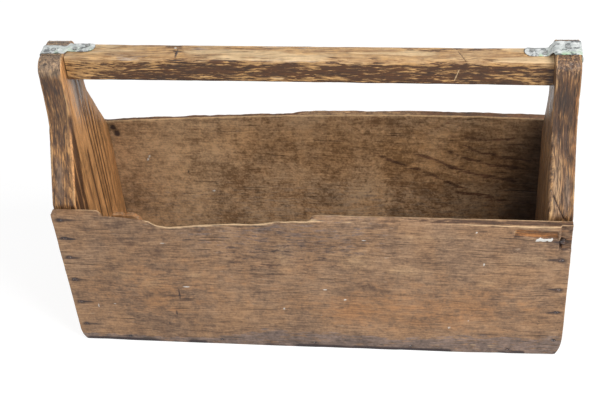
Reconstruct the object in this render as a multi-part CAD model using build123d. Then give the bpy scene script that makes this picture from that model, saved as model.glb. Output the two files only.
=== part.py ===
from build123d import *
import os

# An old nailed carpenter's tote: two flared end boards, two side boards nailed over their edges,
# a bottom board held between the four walls, and a fixed handle rail under sheet metal straps.
# Lengths are in millimetres. The origin is the middle of the underside, with +X along the box,
# +Y towards its back and +Z up.

# Walls and bottom
box_length = 610.0
box_depth = 192.0
side_thickness = 13.0
front_height = 212.0
back_rise = 22.0
end_thickness = 29.0
bottom_thickness = 16.0
foot_radius = 10.0
back_arris_radius = 1.5

# End boards above the sides
end_height = 383.0
right_end_rise = 4.0
shoulder_rise = 4.0
neck_foot_width = 70.0
neck_top_width = 60.0
neck_blend_radius = 60.0
crown_radius = 16.0
end_arris_radius = 2.0

# Handle rail, nearly square at its ends, worn round along the grip and a little lower on the right
rail_depth = 30.0
rail_height = 32.0
rail_drop = 1.2
rail_slope = 3.2
rail_end_radius = 2.5
grip_radius = 5.0
grip_length = 420.0

# Straps, each a tongue on the rail, a bend up to a head over the end board, and a short outer leg
strap_thickness = 1.2
strap_tongue_length = 32.0
strap_tongue_width = 17.0
strap_tongue_offset = 4.5
strap_tip_radius = 10.0
strap_bend_run = 6.0
strap_bend_lap = 1.0
left_strap_width = 20.0
left_strap_offset = -3.0
right_strap_width = 28.0
right_strap_offset = 0.8
strap_leg_length = 18.0

# Cut nails, which taper across one way only
nail_head_width = 6.0
nail_head_depth = 4.5
nail_head_thickness = 1.6
nail_shank_width = 3.8
nail_tip_width = 2.0
nail_shank_depth = 2.6
corner_nail_length = 50.0
corner_nail_inset = 10.5
bottom_nail_length = 40.0
rail_nail_length = 60.0
back_nail_count = 6
side_bottom_nail_count = 5
end_bottom_nail_count = 3

# Strap nails
strap_nail_head_radius = 3.2
strap_nail_head_sides = 8
strap_nail_head_thickness = 1.0
strap_nail_shank = 2.4
strap_nail_tip = 1.4
strap_nail_length = 18.0

# Break along the front board's top edge, deepest through its inner layer
break_depth = 28.0
outer_layer_depth = 7.0

# Splinter lost from the front board's face, and its chipped corner
splinter_length = 47.0
splinter_height = 9.5
splinter_depth = 3.5
splinter_inset = 18.0
splinter_drop = 8.0
chip_width = 14.0
chip_height = 31.0
chip_depth = 6.0

# Part of the end boards' rise above the sides that their flare takes
flare_share = 0.527

# Places along half the box and depths of the break, from its right end to its left. The outer layer is
# worn down in a long dip. The inner layer has broken away lower, but for a sliver near its left end.
outer_break_shares = (
    (-0.03, 0.0),
    (-0.114, 0.08),
    (-0.165, 0.18),
    (-0.27, 0.25),
    (-0.41, 0.345),
    (-0.535, 0.525),
    (-0.58, 0.457),
    (-0.605, 0.355),
    (-0.612, 0.245),
    (-0.68, 0.155),
    (-0.72, 0.095),
    (-0.76, 0.0),
)
inner_break_shares = (
    (0.016, 0.0),
    (0.006, 0.5),
    (-0.2, 0.69),
    (-0.41, 0.82),
    (-0.54, 1.0),
    (-0.6, 0.9),
    (-0.632, 0.6),
    (-0.645, 0.11),
    (-0.69, 0.05),
    (-0.7, 0.17),
    (-0.755, 0.09),
    (-0.765, 0.5),
    (-0.79, 0.55),
    (-0.812, 0.0),
)

# Wear that bows the back board's top edge down to its two ends, from its highest place along half the box
back_left_wear = 17.0
back_right_wear = 5.0
back_crest_share = 0.42

# Heights of the front corner nails as shares of the front board's height
front_left_nail_shares = (0.132, 0.32, 0.502, 0.677, 0.824, 0.962)
front_right_nail_shares = (0.128, 0.356, 0.531, 0.757, 0.887)

# Outlines of the splinter and the chip as shares of their own length and height
splinter_outline_shares = ((0.0, 0.55), (0.05, 0.12), (1.0, 0.0), (1.0, 0.86), (0.96, 1.0), (0.07, 0.9))
chip_outline_shares = ((0.0, 0.0), (0.12, 0.55), (0.05, 1.0), (1.0, 0.94), (1.0, 0.0))

# Spread of the other nails over the sizes that they follow
back_nail_spread_share = 0.84
side_bottom_nail_spread_share = 0.87
end_bottom_nail_spread_share = 0.6
rail_nail_height_share = 0.24
rail_nail_spread_share = 0.4
strap_nail_place_shares = (0.3, 0.72)
strap_nail_stagger_share = 0.2
strap_leg_nail_share = 0.55
strap_leg_nail_spread_share = 0.56

# Sizes that follow from the ones above
half_length = box_length / 2
half_depth = box_depth / 2
inner_half_length = half_length - end_thickness
inner_half_depth = half_depth - side_thickness
back_height = front_height + back_rise
shoulder_height = front_height + shoulder_rise
neck_height = shoulder_height + (end_height - shoulder_height) * flare_share
right_end_height = end_height + right_end_rise
rail_left_top = end_height - rail_drop


def spread(count, span):
    """Evenly spaced places over a span that is centred on zero."""
    pitch = span / (count - 1)
    return [pitch * place - span / 2 for place in range(count)]


def rail_top(x):
    """Height of the rail's top, which slopes down from its left end to its right."""
    return rail_left_top - rail_slope * (x + inner_half_length) / (2 * inner_half_length)


def flat_face(points):
    return make_face(Polyline(*points, close=True))


# Nails
def shank(root_width, tip_width, depth, length):
    """A shank that tapers in width from its root at the head to its tip."""
    side = [(-root_width / 2, 0), (root_width / 2, 0), (tip_width / 2, -length), (-tip_width / 2, -length)]
    return extrude(Plane.XZ * flat_face(side), depth / 2, both=True)


def cut_nail(length):
    head = Box(
        nail_head_width,
        nail_head_depth,
        nail_head_thickness,
        align=(Align.CENTER, Align.CENTER, Align.MAX),
    )
    return head + shank(nail_shank_width, nail_tip_width, nail_shank_depth, length)


def strap_nail():
    head = extrude(RegularPolygon(strap_nail_head_radius, strap_nail_head_sides), strap_nail_head_thickness)
    return head + shank(strap_nail_shank, strap_nail_tip, strap_nail_shank, strap_nail_length)


def driven(nail, places, outward, grain):
    """Copies of a nail, heads at the places and facing outward, with their wide side along the grain."""
    return [Plane(origin=place, x_dir=grain, z_dir=outward) * nail for place in places]


def corner_nails(side_x, side_y, heights):
    nail_x = side_x * (half_length - corner_nail_inset)
    places = [(nail_x, side_y * half_depth, height) for height in heights]
    return driven(cut_nail(corner_nail_length), places, (0, side_y, 0), (1, 0, 0))


def side_bottom_nails(side_y):
    span = 2 * inner_half_length * side_bottom_nail_spread_share
    places = [(x, side_y * half_depth, bottom_thickness / 2) for x in spread(side_bottom_nail_count, span)]
    return driven(cut_nail(bottom_nail_length), places, (0, side_y, 0), (1, 0, 0))


def end_bottom_nails(side_x):
    span = 2 * inner_half_depth * end_bottom_nail_spread_share
    places = [(side_x * half_length, y, bottom_thickness / 2) for y in spread(end_bottom_nail_count, span)]
    return driven(cut_nail(corner_nail_length), places, (side_x, 0, 0), (0, 1, 0))


def rail_nails(side_x):
    rail_bottom = rail_top(side_x * inner_half_length) - rail_height
    height = rail_bottom + rail_height * rail_nail_height_share
    reach = rail_depth * rail_nail_spread_share / 2
    places = [(side_x * half_length, y, height) for y in (-reach, reach)]
    return driven(cut_nail(rail_nail_length), places, (side_x, 0, 0), (0, 1, 0))


def strap_rail_nails(side_x):
    stagger = strap_tongue_width * strap_nail_stagger_share
    places = []
    for share, sign in zip(strap_nail_place_shares, (-1, 1)):
        nail_x = side_x * (inner_half_length - strap_tongue_length * share)
        places.append((nail_x, strap_tongue_offset + sign * stagger, rail_top(nail_x) + strap_thickness))
    return driven(strap_nail(), places, (0, 0, 1), (1, 0, 0))


def strap_top_nail(side_x, height, middle):
    place = (side_x * (half_length - end_thickness / 2), middle, height + strap_thickness)
    return driven(strap_nail(), [place], (0, 0, 1), (1, 0, 0))


def strap_leg_nails(side_x, height, width, middle):
    nail_x = side_x * (half_length + strap_thickness)
    nail_z = height - strap_leg_length * strap_leg_nail_share
    reach = width * strap_leg_nail_spread_share / 2
    places = [(nail_x, middle + y, nail_z) for y in (-reach, reach)]
    return driven(strap_nail(), places, (side_x, 0, 0), (0, 1, 0))


# Side boards
def side_board(points, inner, outer):
    """A board from its outline in X and Z, between two distances in front of the middle plane."""
    outline = flat_face(points)
    outline = fillet(outline.vertices().group_by(Axis.Y)[0], foot_radius)
    return extrude(Plane.XZ.offset(inner) * outline, outer - inner)


def front_layer(break_shares, inner, outer):
    points = [(-half_length, 0), (half_length, 0), (half_length, front_height)]
    for along, depth in break_shares:
        points.append((half_length * along, front_height - break_depth * depth))
    points.append((-half_length, front_height))
    return side_board(points, inner, outer)


def face_cut(shares, left, top, length, height, depth):
    """A shallow cut into the front board's face, from an outline in shares of its length and height."""
    points = [(left + length * along, top - height * down) for along, down in shares]
    return extrude(Plane.XZ.offset(half_depth - depth) * flat_face(points), depth)


def front_board():
    split = half_depth - outer_layer_depth
    board = front_layer(inner_break_shares, inner_half_depth, split)
    board += front_layer(outer_break_shares, split, half_depth)
    splinter_left = half_length - splinter_inset - splinter_length
    splinter_top = front_height - splinter_drop
    board -= face_cut(
        splinter_outline_shares,
        splinter_left,
        splinter_top,
        splinter_length,
        splinter_height,
        splinter_depth,
    )
    chip_left = half_length - chip_width
    board -= face_cut(chip_outline_shares, chip_left, front_height, chip_width, chip_height, chip_depth)
    return board


def back_board():
    upper_left = (-half_length, back_height - back_left_wear)
    upper_right = (half_length, back_height - back_right_wear)
    crest = (half_length * back_crest_share, back_height)
    left_bow = TangentArc(crest, upper_left, tangent=(-1, 0))
    right_bow = TangentArc(crest, upper_right, tangent=(1, 0))
    walls = Polyline(upper_right, (half_length, 0), (-half_length, 0), upper_left)
    outline = make_face(left_bow + right_bow + walls)
    outline = fillet(outline.vertices().group_by(Axis.Y)[0], foot_radius)
    board = extrude(Plane.XZ.offset(-inner_half_depth) * outline, -side_thickness)
    arcs = board.edges().filter_by(GeomType.CIRCLE)
    bows = [edge for edge in arcs if edge.center().Z > back_height / 2]
    return fillet(bows, back_arris_radius)


# End boards
def end_board(side_x, height):
    right_edge = [
        (inner_half_depth, 0),
        (inner_half_depth, shoulder_height),
        (neck_foot_width / 2, neck_height),
        (neck_top_width / 2, height),
    ]
    left_edge = [(-y, z) for y, z in reversed(right_edge)]
    outline = flat_face(right_edge + left_edge)
    neck = outline.vertices().group_by(Axis.Y)[2]
    outline = fillet(neck, neck_blend_radius)
    outline = fillet(outline.vertices().group_by(Axis.Y)[-1], crown_radius)
    inner_x = side_x * inner_half_length
    board = extrude(Plane.YZ.offset(inner_x) * outline, side_x * end_thickness)
    foot = board.edges().filter_by(Axis.Y).group_by(Axis.Z)[0].sort_by(Axis.X)
    board = fillet(foot[-1] if side_x > 0 else foot[0], foot_radius)
    rim = [
        edge
        for edge in board.edges()
        if edge.center().Z > shoulder_height and edge.bounding_box().size.X < end_thickness / 2
    ]
    return fillet(rim, end_arris_radius)


# Bottom and handle rail
def bottom_board():
    return Box(
        2 * inner_half_length,
        2 * inner_half_depth,
        bottom_thickness,
        align=(Align.CENTER, Align.CENTER, Align.MIN),
    )


def rail_section(place, radius):
    section = Pos(0, rail_top(place) - rail_height / 2) * RectangleRounded(rail_depth, rail_height, radius)
    return Plane.YZ.offset(place) * section


def handle_rail():
    half_grip = grip_length / 2
    worn = [rail_section(side_x * half_grip, grip_radius) for side_x in (-1, 1)]
    square = [rail_section(side_x * inner_half_length, rail_end_radius) for side_x in (-1, 1)]
    return loft([square[0], worn[0], worn[1], square[1]], ruled=True)


# Straps
def strap_profile(side_x, height):
    """A strap's thickness in X and Z, from its tip on the rail to the end of its leg."""
    tip_x = inner_half_length - strap_tongue_length
    foot_x = inner_half_length - strap_bend_run
    head_x = inner_half_length + strap_bend_lap
    outer_x = half_length + strap_thickness
    leg_end = height - strap_leg_length
    tip_z = rail_top(side_x * tip_x)
    foot_z = rail_top(side_x * foot_x)
    run = head_x - foot_x
    rise = height - foot_z
    back_step = strap_thickness * ((run**2 + rise**2) ** 0.5 - run) / rise
    points = [
        (tip_x, tip_z),
        (foot_x, foot_z),
        (head_x, height),
        (half_length, height),
        (half_length, leg_end),
        (outer_x, leg_end),
        (outer_x, height + strap_thickness),
        (head_x - back_step, height + strap_thickness),
        (foot_x - back_step, foot_z + strap_thickness),
        (tip_x, tip_z + strap_thickness),
    ]
    profile = flat_face(points)
    over_radius = end_arris_radius + strap_thickness
    for (x, z), radius in ((points[3], end_arris_radius), (points[6], over_radius)):
        corner = min(profile.vertices(), key=lambda v: abs(v.X - x) + abs(v.Y - z))
        profile = fillet(corner, radius)
    return profile


def strap(side_x, height, width, middle):
    tip_x = inner_half_length - strap_tongue_length
    outer_x = half_length + strap_thickness
    bent = extrude(Plane.XZ * strap_profile(side_x, height), half_depth, both=True)
    onward = (Align.MIN, Align.CENTER)
    head = Pos(inner_half_length, middle) * Rectangle(outer_x - inner_half_length, width, align=onward)
    tongue_length = strap_tongue_length + strap_bend_lap
    tongue = Pos(tip_x, strap_tongue_offset) * Rectangle(tongue_length, strap_tongue_width, align=onward)
    front_tip = tongue.vertices().group_by(Axis.X)[0].sort_by(Axis.Y)[0]
    tongue = fillet(front_tip, strap_tip_radius)
    plan = extrude(head + tongue, 2 * height)
    made = bent & plan
    return made if side_x > 0 else made.mirror(Plane.YZ)


def main():
    os.makedirs("parts", exist_ok=True)
    front_left = corner_nails(-1, -1, [front_height * share for share in front_left_nail_shares])
    front_right = corner_nails(1, -1, [front_height * share for share in front_right_nail_shares])
    back_span = front_height * back_nail_spread_share
    back_heights = [front_height / 2 + z for z in spread(back_nail_count, back_span)]
    heights = {-1: end_height, 1: right_end_height}
    widths = {-1: left_strap_width, 1: right_strap_width}
    middles = {-1: left_strap_offset, 1: right_strap_offset}
    nails = {
        "front_left_nails": front_left,
        "front_right_nails": front_right,
        "back_left_nails": corner_nails(-1, 1, back_heights),
        "back_right_nails": corner_nails(1, 1, back_heights),
        "front_bottom_nails": side_bottom_nails(-1),
        "back_bottom_nails": side_bottom_nails(1),
    }
    for side_x, side in ((-1, "left"), (1, "right")):
        nails[side + "_bottom_nails"] = end_bottom_nails(side_x)
        nails[side + "_rail_nails"] = rail_nails(side_x)
        nails[side + "_strap_rail_nails"] = strap_rail_nails(side_x)
        head = (side_x, heights[side_x])
        nails[side + "_strap_top_nail"] = strap_top_nail(*head, middles[side_x])
        nails[side + "_strap_leg_nails"] = strap_leg_nails(*head, widths[side_x], middles[side_x])
    solids = {
        "front_board": front_board(),
        "back_board": back_board(),
        "left_end_board": end_board(-1, end_height),
        "right_end_board": end_board(1, right_end_height),
        "bottom_board": bottom_board(),
        "handle_rail": handle_rail(),
        "left_strap": strap(-1, end_height, left_strap_width, left_strap_offset),
        "right_strap": strap(1, right_end_height, right_strap_width, right_strap_offset),
    }
    driven_through = {
        "front_board": ("front_left_nails", "front_right_nails", "front_bottom_nails"),
        "back_board": ("back_left_nails", "back_right_nails", "back_bottom_nails"),
        "bottom_board": ["front_bottom_nails", "back_bottom_nails"],
        "handle_rail": [],
    }
    for side in ("left", "right"):
        strap_nails = [side + kind for kind in ("_strap_rail_nails", "_strap_top_nail", "_strap_leg_nails")]
        board_nails = [side + kind for kind in ("_bottom_nails", "_rail_nails")]
        corner = [place + side + "_nails" for place in ("front_", "back_")]
        driven_through[side + "_strap"] = strap_nails
        driven_through[side + "_end_board"] = corner + board_nails + strap_nails[1:]
        driven_through["bottom_board"].append(board_nails[0])
        driven_through["handle_rail"] += [board_nails[1], strap_nails[0]]
    for board, groups in driven_through.items():
        for group in groups:
            solids[board] -= nails[group]
    for name, solid in solids.items():
        export_step(solid, f"parts/{name}.step")
    for name, group in nails.items():
        export_step(Compound(group), f"parts/{name}.step")


main()
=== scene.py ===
import math
from functools import reduce
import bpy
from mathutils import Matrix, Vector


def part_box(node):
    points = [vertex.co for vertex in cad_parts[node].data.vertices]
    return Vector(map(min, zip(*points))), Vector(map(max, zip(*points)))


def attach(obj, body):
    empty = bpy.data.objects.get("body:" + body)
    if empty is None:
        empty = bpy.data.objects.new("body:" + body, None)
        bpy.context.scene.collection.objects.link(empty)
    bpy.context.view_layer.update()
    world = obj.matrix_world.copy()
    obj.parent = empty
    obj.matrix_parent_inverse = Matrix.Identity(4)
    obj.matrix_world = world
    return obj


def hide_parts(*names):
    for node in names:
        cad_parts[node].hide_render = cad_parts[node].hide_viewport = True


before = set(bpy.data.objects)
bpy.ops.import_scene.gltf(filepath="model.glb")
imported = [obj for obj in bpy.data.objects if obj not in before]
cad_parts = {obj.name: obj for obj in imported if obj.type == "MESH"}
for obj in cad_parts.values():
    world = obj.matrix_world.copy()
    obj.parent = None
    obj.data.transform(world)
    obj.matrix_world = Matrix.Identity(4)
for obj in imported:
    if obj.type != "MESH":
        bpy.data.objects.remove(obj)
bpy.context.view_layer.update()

from types import SimpleNamespace

import bpy
import numpy as np
from mathutils import Matrix, Vector

# Sizes of the solids
front_low, front_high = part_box("front_board")
back_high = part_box("back_board")[1]
rail_low, rail_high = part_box("handle_rail")
bottom_low, bottom_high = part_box("bottom_board")
side_signs = {"left": -1, "right": 1}
end_heights = {side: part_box(f"{side}_end_board")[1][2] for side in side_signs}
strap_heights = {side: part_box(f"{side}_strap")[1][2] for side in side_signs}
half_length = front_high[0]
half_depth = back_high[1]
side_thickness = front_high[1] - front_low[1]
front_height = front_high[2]
back_height = back_high[2]
inner_half_length = bottom_high[0]
end_thickness = half_length - inner_half_length
end_half_width = bottom_high[1]

# Pitch of the grids that the boards are made of, and the closer lines along their rims
fine_pitch = 0.00125
board_pitch = 0.002
end_pitch = 0.0022
coarse_pitch = 0.0026
bottom_pitches = (0.004, 0.0035)
rim_gaps = np.array([0.0, 0.0004, 0.0009, 0.0016, 0.0024])

# Random numbers of the noise
hash_steps = np.array([374761393, 668265263, 1440662683])
hash_seed_step = 144665117
hash_twist = 1274126177
hash_shifts = (13, 15)
hash_mask = 0x7FFFFFFF
value_mask = 0xFFFF

# Layers of noise: the size of their cells along each axis, their seed and their octaves, and for some the
# two levels between which they rise from 0 to 1
clouds = {
    "front_crest": ((0.007, 0.004, 1.0), 3, 2),
    "front_edge": ((0.005, 0.0022, 1.0), 5, 3),
    "front_top": ((0.03, 0.004, 1.0), 9, 2),
    "front_reach": ((1.0, 0.5, 0.012), 15, 2),
    "front_softness": ((0.03, 0.03, 0.03), 21, 2),
    "front_torn": ((0.006, 1.0, 0.004), 55, 3),
    "front_chip": ((1.0, 1.0, 0.004), 5, 2),
    "front_rough": ((0.012, 0.003, 0.0016), 23, 3),
    "front_patches": ((0.02, 1.0, 0.02), 51, 2, 0.4, 0.7),
    "front_crest_wear": ((0.006, 1.0, 1.0), 53, 3),
    "front_streaks": ((0.014, 1.0, 0.003), 67, 3, 0.5, 0.72),
    "front_band": ((0.03, 1.0, 1.0), 61, 3),
    "front_foot": ((0.03, 1.0, 1.0), 63, 2, 0.47, 0.66),
    "front_drip": ((0.0035, 1.0, 0.0035), 65, 3),
    "back_split": ((0.012, 0.004, 1.0), 71, 3),
    "back_top": ((0.02, 0.006, 1.0), 73, 3),
    "back_reach": ((1.0, 0.5, 0.012), 75, 2),
    "back_softness": ((0.03, 0.03, 0.03), 77, 2),
    "back_patches": ((0.03, 1.0, 0.03), 87, 2, 0.4, 0.7),
    "back_waves": ((0.018, 1.0, 0.018), 89, 2),
    "back_weather": ((0.12, 1.0, 0.05), 94, 3),
    "back_dust": ((0.16, 1.0, 0.07), 96, 3, 0.45, 0.65),
    "end_width": ((1.0, 1.0, 0.03), 91, 3),
    "end_softness": ((0.04, 0.04, 0.04), 93, 2),
    "end_lines": ((0.006, 0.0026, 0.16), 95, 3),
    "end_furrows": ((0.02, 0.012, 0.1), 97, 2, 0.4, 0.62),
    "end_fibres": ((0.0022, 1.0, 0.022), 107, 3),
    "end_patches": ((0.02, 0.02, 0.03), 109, 2, 0.35, 0.65),
    "end_tint": ((0.02, 0.5, 0.05), 111, 3),
    "end_crown": ((0.004, 0.02, 0.012), 113, 3),
    "end_smears": ((1.0, 0.06, 0.1), 117, 2, 0.45, 0.7),
    "bottom_grime": ((0.1, 0.04, 1.0), 131, 2),
    "bottom_grey": ((0.09, 0.05, 1.0), 133, 2, 0.4, 0.7),
    "bottom_stain": ((0.05, 0.04, 1.0), 137, 3, 0.55, 0.9),
    "bottom_warm": ((0.12, 0.05, 1.0), 139, 2, 0.5, 0.8),
    "rail_wobble": ((0.03, 0.05, 0.05), 141, 2),
    "rail_waves": ((0.06, 0.012, 0.012), 143, 2),
    "rail_fibres": ((0.02, 0.0022, 0.0022), 147, 3),
    "rail_chips": ((0.025, 0.02, 0.02), 149, 2, 0.55, 0.8),
    "rail_edge": ((0.03, 0.02, 0.004), 151, 4),
    "rail_polish": ((0.06, 0.01, 0.01), 153, 2, 0.3, 0.65),
    "rail_smears": ((0.06, 0.03, 0.009), 155, 4, 0.34, 0.6),
    "rail_grey": ((0.04, 0.01, 0.02), 157, 2, 0.6, 0.75),
    "rail_patches": ((0.03, 0.01, 0.02), 159, 3, 0.58, 0.75),
    "strap_edge": ((0.008, 1.0, 1.0), 161, 2),
    "strap_dents": ((0.006, 0.005, 1.0), 163, 3),
    "strap_grime": ((0.005, 0.004, 1.0), 171, 3, 0.46, 0.72),
    "strap_tint": ((0.012, 0.05, 1.0), 173, 2, 0.25, 0.5),
    "nail_head": ((0.7, 0.7, 0.7), 181, 2),
}

# Unevenness of the boards' faces: the size of its cells, its seed and its depth
reliefs = {
    "front_outer": ((0.03, 0.006, 0.003), 31, 0.0008),
    "front_inner": ((0.03, 0.006, 0.003), 37, 0.0009),
    "back_outer": ((0.03, 0.006, 0.003), 81, 0.0009),
    "back_inner": ((0.035, 0.006, 0.004), 83, 0.001),
    "end_outer": ((0.006, 0.003, 0.04), 99, 0.0005),
    "end_inner": ((0.006, 0.003, 0.04), 103, 0.0008),
    "bottom_under": ((0.04, 0.003, 0.006), 121, 0.001),
    "bottom_upper": ((0.04, 0.003, 0.006), 127, 0.0012),
}
relief_wave_stretch = 10
relief_fibre_seed_step = 7

# Knocks in the faces: the seed and the count on each, and the range of their half sizes and depths
dent_sets = {
    "front_outer": (7, 46),
    "front_inner": (8, 30),
    "back_outer": (17, 40),
    "back_inner": (18, 34),
    "end_outer": (27, 30),
    "bottom_upper": (37, 60),
    "rail": (47, 90),
}
dent_sizes = ((0.002, 0.0015), (0.009, 0.005))
dent_depths = (0.0002, 0.0008)
side_face_area = ((-half_length, 0), (half_length, front_height))


def value_noise(points, seed):
    """Smooth random values from 0 to 1 whose cells are one unit wide."""
    cells = np.floor(points).astype(np.int64)
    parts = points - cells
    blend = parts * parts * (3 - 2 * parts)
    total = np.zeros(len(points))
    for corner in np.ndindex(2, 2, 2):
        mixed = ((cells + corner) * hash_steps).sum(axis=1) + seed * hash_seed_step
        mixed = (mixed ^ (mixed >> hash_shifts[0])) & hash_mask
        mixed = (mixed * hash_twist) & hash_mask
        mixed = mixed ^ (mixed >> hash_shifts[1])
        weight = np.prod(np.where(corner, blend, 1 - blend), axis=1)
        total += weight * (mixed & value_mask) / value_mask
    return total


def layered(points, cell, seed, octaves):
    """Layers of noise from 0 to 1, each half as wide and half as strong as the one before."""
    scaled = points / np.array(cell)
    total = np.zeros(len(points))
    for octave in range(octaves):
        total += value_noise(scaled * 2**octave, seed + octave) / 2**octave
    return total / (2 - 2 ** (1 - octaves))


def cloud(points, name, shift=0):
    """The noise of that name in the table, eased between its levels where it has them."""
    cell, seed, octaves, *levels = clouds[name]
    total = layered(points, cell, seed + shift, octaves)
    return ease(*levels, total) if levels else total


def ease(low, high, value):
    """A smooth step from 0 at low to 1 at high."""
    part = np.clip((value - low) / (high - low), 0, 1)
    return part * part * (3 - 2 * part)


def above(value, level, blur):
    """1 above a level and 0 below it, fading over the blur on either side."""
    return ease(level - blur, level + blur, value)


def within(value, low, high, blur):
    """1 between low and high, fading to 0 over the blur."""
    return above(value, low, blur) * (1 - above(value, high, blur))


def near(distance, width):
    """1 at no distance, fading away over the width."""
    return np.exp(-distance / width)


def stroke(gap, width):
    """A soft line of the given half width, 1 at its middle."""
    return np.exp(-((gap / width) ** 2))


def spot(x, z, place, size):
    """A soft spot with the given half sizes, 1 at its middle."""
    return np.exp(-(((x - place[0]) / size[0]) ** 2) - ((z - place[1]) / size[1]) ** 2)


def spots(x, z, table, join=np.maximum):
    """A table of soft spots joined together, each with its place, its half sizes and its strength."""
    parts = (strength * spot(x, z, place, size) for place, size, strength in table)
    return reduce(join, parts, np.zeros(len(x)))


def most(*parts):
    """The largest of several values at each vertex."""
    return reduce(np.maximum, parts)


def columns(*parts):
    """A row of coordinates for each vertex."""
    return np.stack(parts, axis=1)


def along(table, x):
    """Values between the entries of a table of places and values."""
    places, values = zip(*table)
    return np.interp(x, places, values)


def rounding(distance, radius):
    """How far a face lies below its plane near a rounded edge."""
    short = np.clip(radius - distance, 0, radius)
    return radius - np.sqrt(radius**2 - short**2)


def relief(points, name):
    """Shallow unevenness of that name in the table, drawn out along the grain."""
    cell, seed, depth = reliefs[name]
    waves = layered(points, [relief_wave_stretch * size for size in cell], seed, 2)
    fibres = layered(points, cell, seed + relief_fibre_seed_step, 3)
    return depth * (0.6 * waves + 0.4 * fibres)


def dents(x, z, name, low, high, shift=0):
    """Shallow knocks at random places between two corners of a face."""
    seed, count = dent_sets[name]
    random = np.random.default_rng(seed + shift)
    total = np.zeros(len(x))
    for _ in range(count):
        place = random.uniform(low, high)
        size = random.uniform(*dent_sizes)
        depth = random.uniform(*dent_depths)
        total = np.maximum(total, depth * spot(x, z, place, size))
    return total


def spaced(low, high, pitch):
    """Grid lines across a span, closer together at its two ends."""
    count = round((high - low - 2 * rim_gaps[-1]) / pitch)
    middle = np.linspace(low + rim_gaps[-1], high - rim_gaps[-1], count + 1)
    return np.concatenate([low + rim_gaps[:-1], middle, high - rim_gaps[-2::-1]])


def lattice(first, second, third):
    """Surface of a box cut along three sets of planes: the places of its vertices, and its quads."""
    sizes = (len(first), len(second), len(third))
    surface = np.zeros(sizes, bool)
    for axis in range(3):
        layers = np.moveaxis(surface, axis, 0)
        layers[0] = True
        layers[-1] = True
    numbers = np.full(sizes, -1)
    numbers[surface] = np.arange(surface.sum())
    places = np.stack(np.meshgrid(first, second, third, indexing="ij"), axis=-1)[surface]
    quads = []
    for axis in range(3):
        for side in (0, -1):
            sheet = np.moveaxis(numbers, axis, 0)[side]
            corners = [sheet[:-1, :-1], sheet[1:, :-1], sheet[1:, 1:], sheet[:-1, 1:]]
            faces = np.stack(corners, axis=-1).reshape(-1, 4)
            inside_out = (side == 0) != (axis == 1)
            quads.append(faces[:, ::-1] if inside_out else faces)
    return places.T, np.concatenate(quads)


def new_piece(name, points, quads, material, slot, node, **marks):
    """A mesh that stands for a node, with its marks as values on its vertices."""
    mesh = bpy.data.meshes.new(name)
    mesh.from_pydata(points.tolist(), [], quads.tolist())
    for mark, values in marks.items():
        layer = mesh.attributes.new(mark, "FLOAT", "POINT")
        layer.data.foreach_set("value", np.clip(values, 0, 1).astype(np.float32))
    mesh.shade_smooth()
    mesh.materials.append(material)
    piece = bpy.data.objects.new(name, mesh)
    bpy.context.scene.collection.objects.link(piece)
    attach(piece, "root")
    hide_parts(node)
    return piece


def even(count, span):
    """Evenly spaced places over a span that is centred on zero."""
    return np.linspace(-span / 2, span / 2, count)


# Places of the nails: heights in the corners of the sides, and places along the bottom's edges
front_nail_shares = {
    "left": (0.132, 0.32, 0.502, 0.677, 0.824, 0.962),
    "right": (0.128, 0.356, 0.531, 0.757, 0.887),
}
corner_nail_inset = 0.0105
back_nail_count = 6
back_nail_spread_share = 0.84
side_bottom_nail_count = 5
side_bottom_nail_spread_share = 0.87
end_bottom_nail_count = 3
end_bottom_nail_spread_share = 0.6
back_nail_heights = front_height / 2 + even(back_nail_count, front_height * back_nail_spread_share)
corner_nail_heights = {
    "front": {side: [front_height * share for share in front_nail_shares[side]] for side in side_signs},
    "back": {side: back_nail_heights for side in side_signs},
}
side_bottom_nail_places = even(side_bottom_nail_count, 2 * bottom_high[0] * side_bottom_nail_spread_share)
end_bottom_nail_places = even(end_bottom_nail_count, 2 * bottom_high[1] * end_bottom_nail_spread_share)
bottom_nail_height = bottom_high[2] / 2

# Dimples round the nails, and dark stains with tails that run along the grain
nail_dimple_size = (0.0046, 0.0032)
nail_dimple_depth = 0.0011
nail_stain_seed = 41
nail_stain_size = (0.0075, 0.0038)
nail_stain_strengths = (0.85, 1.0)
tailless_stain_strength = 0.5
lowest_tail = 0.0275
tail_reaches = (0.008, 0.016)
tail_drop = 0.0009
tail_half_height = 0.0023
tail_shift_share = 0.55
tail_strength_share = 0.85


def side_nail_places(wall):
    """Places along X and Z of all the nails through a side board, with the way their stains run."""
    places = []
    for side, sign in side_signs.items():
        x = sign * (half_length - corner_nail_inset)
        places += [((x, z), -sign * (z > lowest_tail)) for z in corner_nail_heights[wall][side]]
    return places + [((x, bottom_nail_height), 0) for x in side_bottom_nail_places]


def nail_marks(x, z, places):
    """Dimples round nails and the dark stains that run from them along the grain."""
    dimple = np.zeros(len(x))
    stain = np.zeros(len(x))
    random = np.random.default_rng(nail_stain_seed)
    for place, way in places:
        reach = random.uniform(*tail_reaches)
        drop = random.uniform(-tail_drop, tail_drop)
        strength = random.uniform(*nail_stain_strengths) if way else tailless_stain_strength
        tail = (place[0] + tail_shift_share * way * reach, place[1] + drop)
        streak = tail_strength_share * strength * spot(x, z, tail, (reach, tail_half_height))
        dimple = np.maximum(dimple, spot(x, z, place, nail_dimple_size))
        stain = most(stain, strength * spot(x, z, place, nail_stain_size), streak)
    return dimple, stain


# Worn outlines of the side boards: width and height of the wear at their lower corners, and how far their
# feet have lifted at each end
side_heights = {"front": front_height, "back": back_height}
corner_wear = {
    "front": {"left": (0.01, 0.022), "right": (0.013, 0.034)},
    "back": {"left": (0.01, 0.014), "right": (0.01, 0.016)},
}
foot_lifts = {
    "front": {"left": 0.001, "right": 0.0028},
    "back": {"left": 0.0, "right": 0.0},
}
foot_lift_power = 4
corner_zone = 0.05
warp_height = 0.15
end_raggedness = 0.0005

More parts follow.
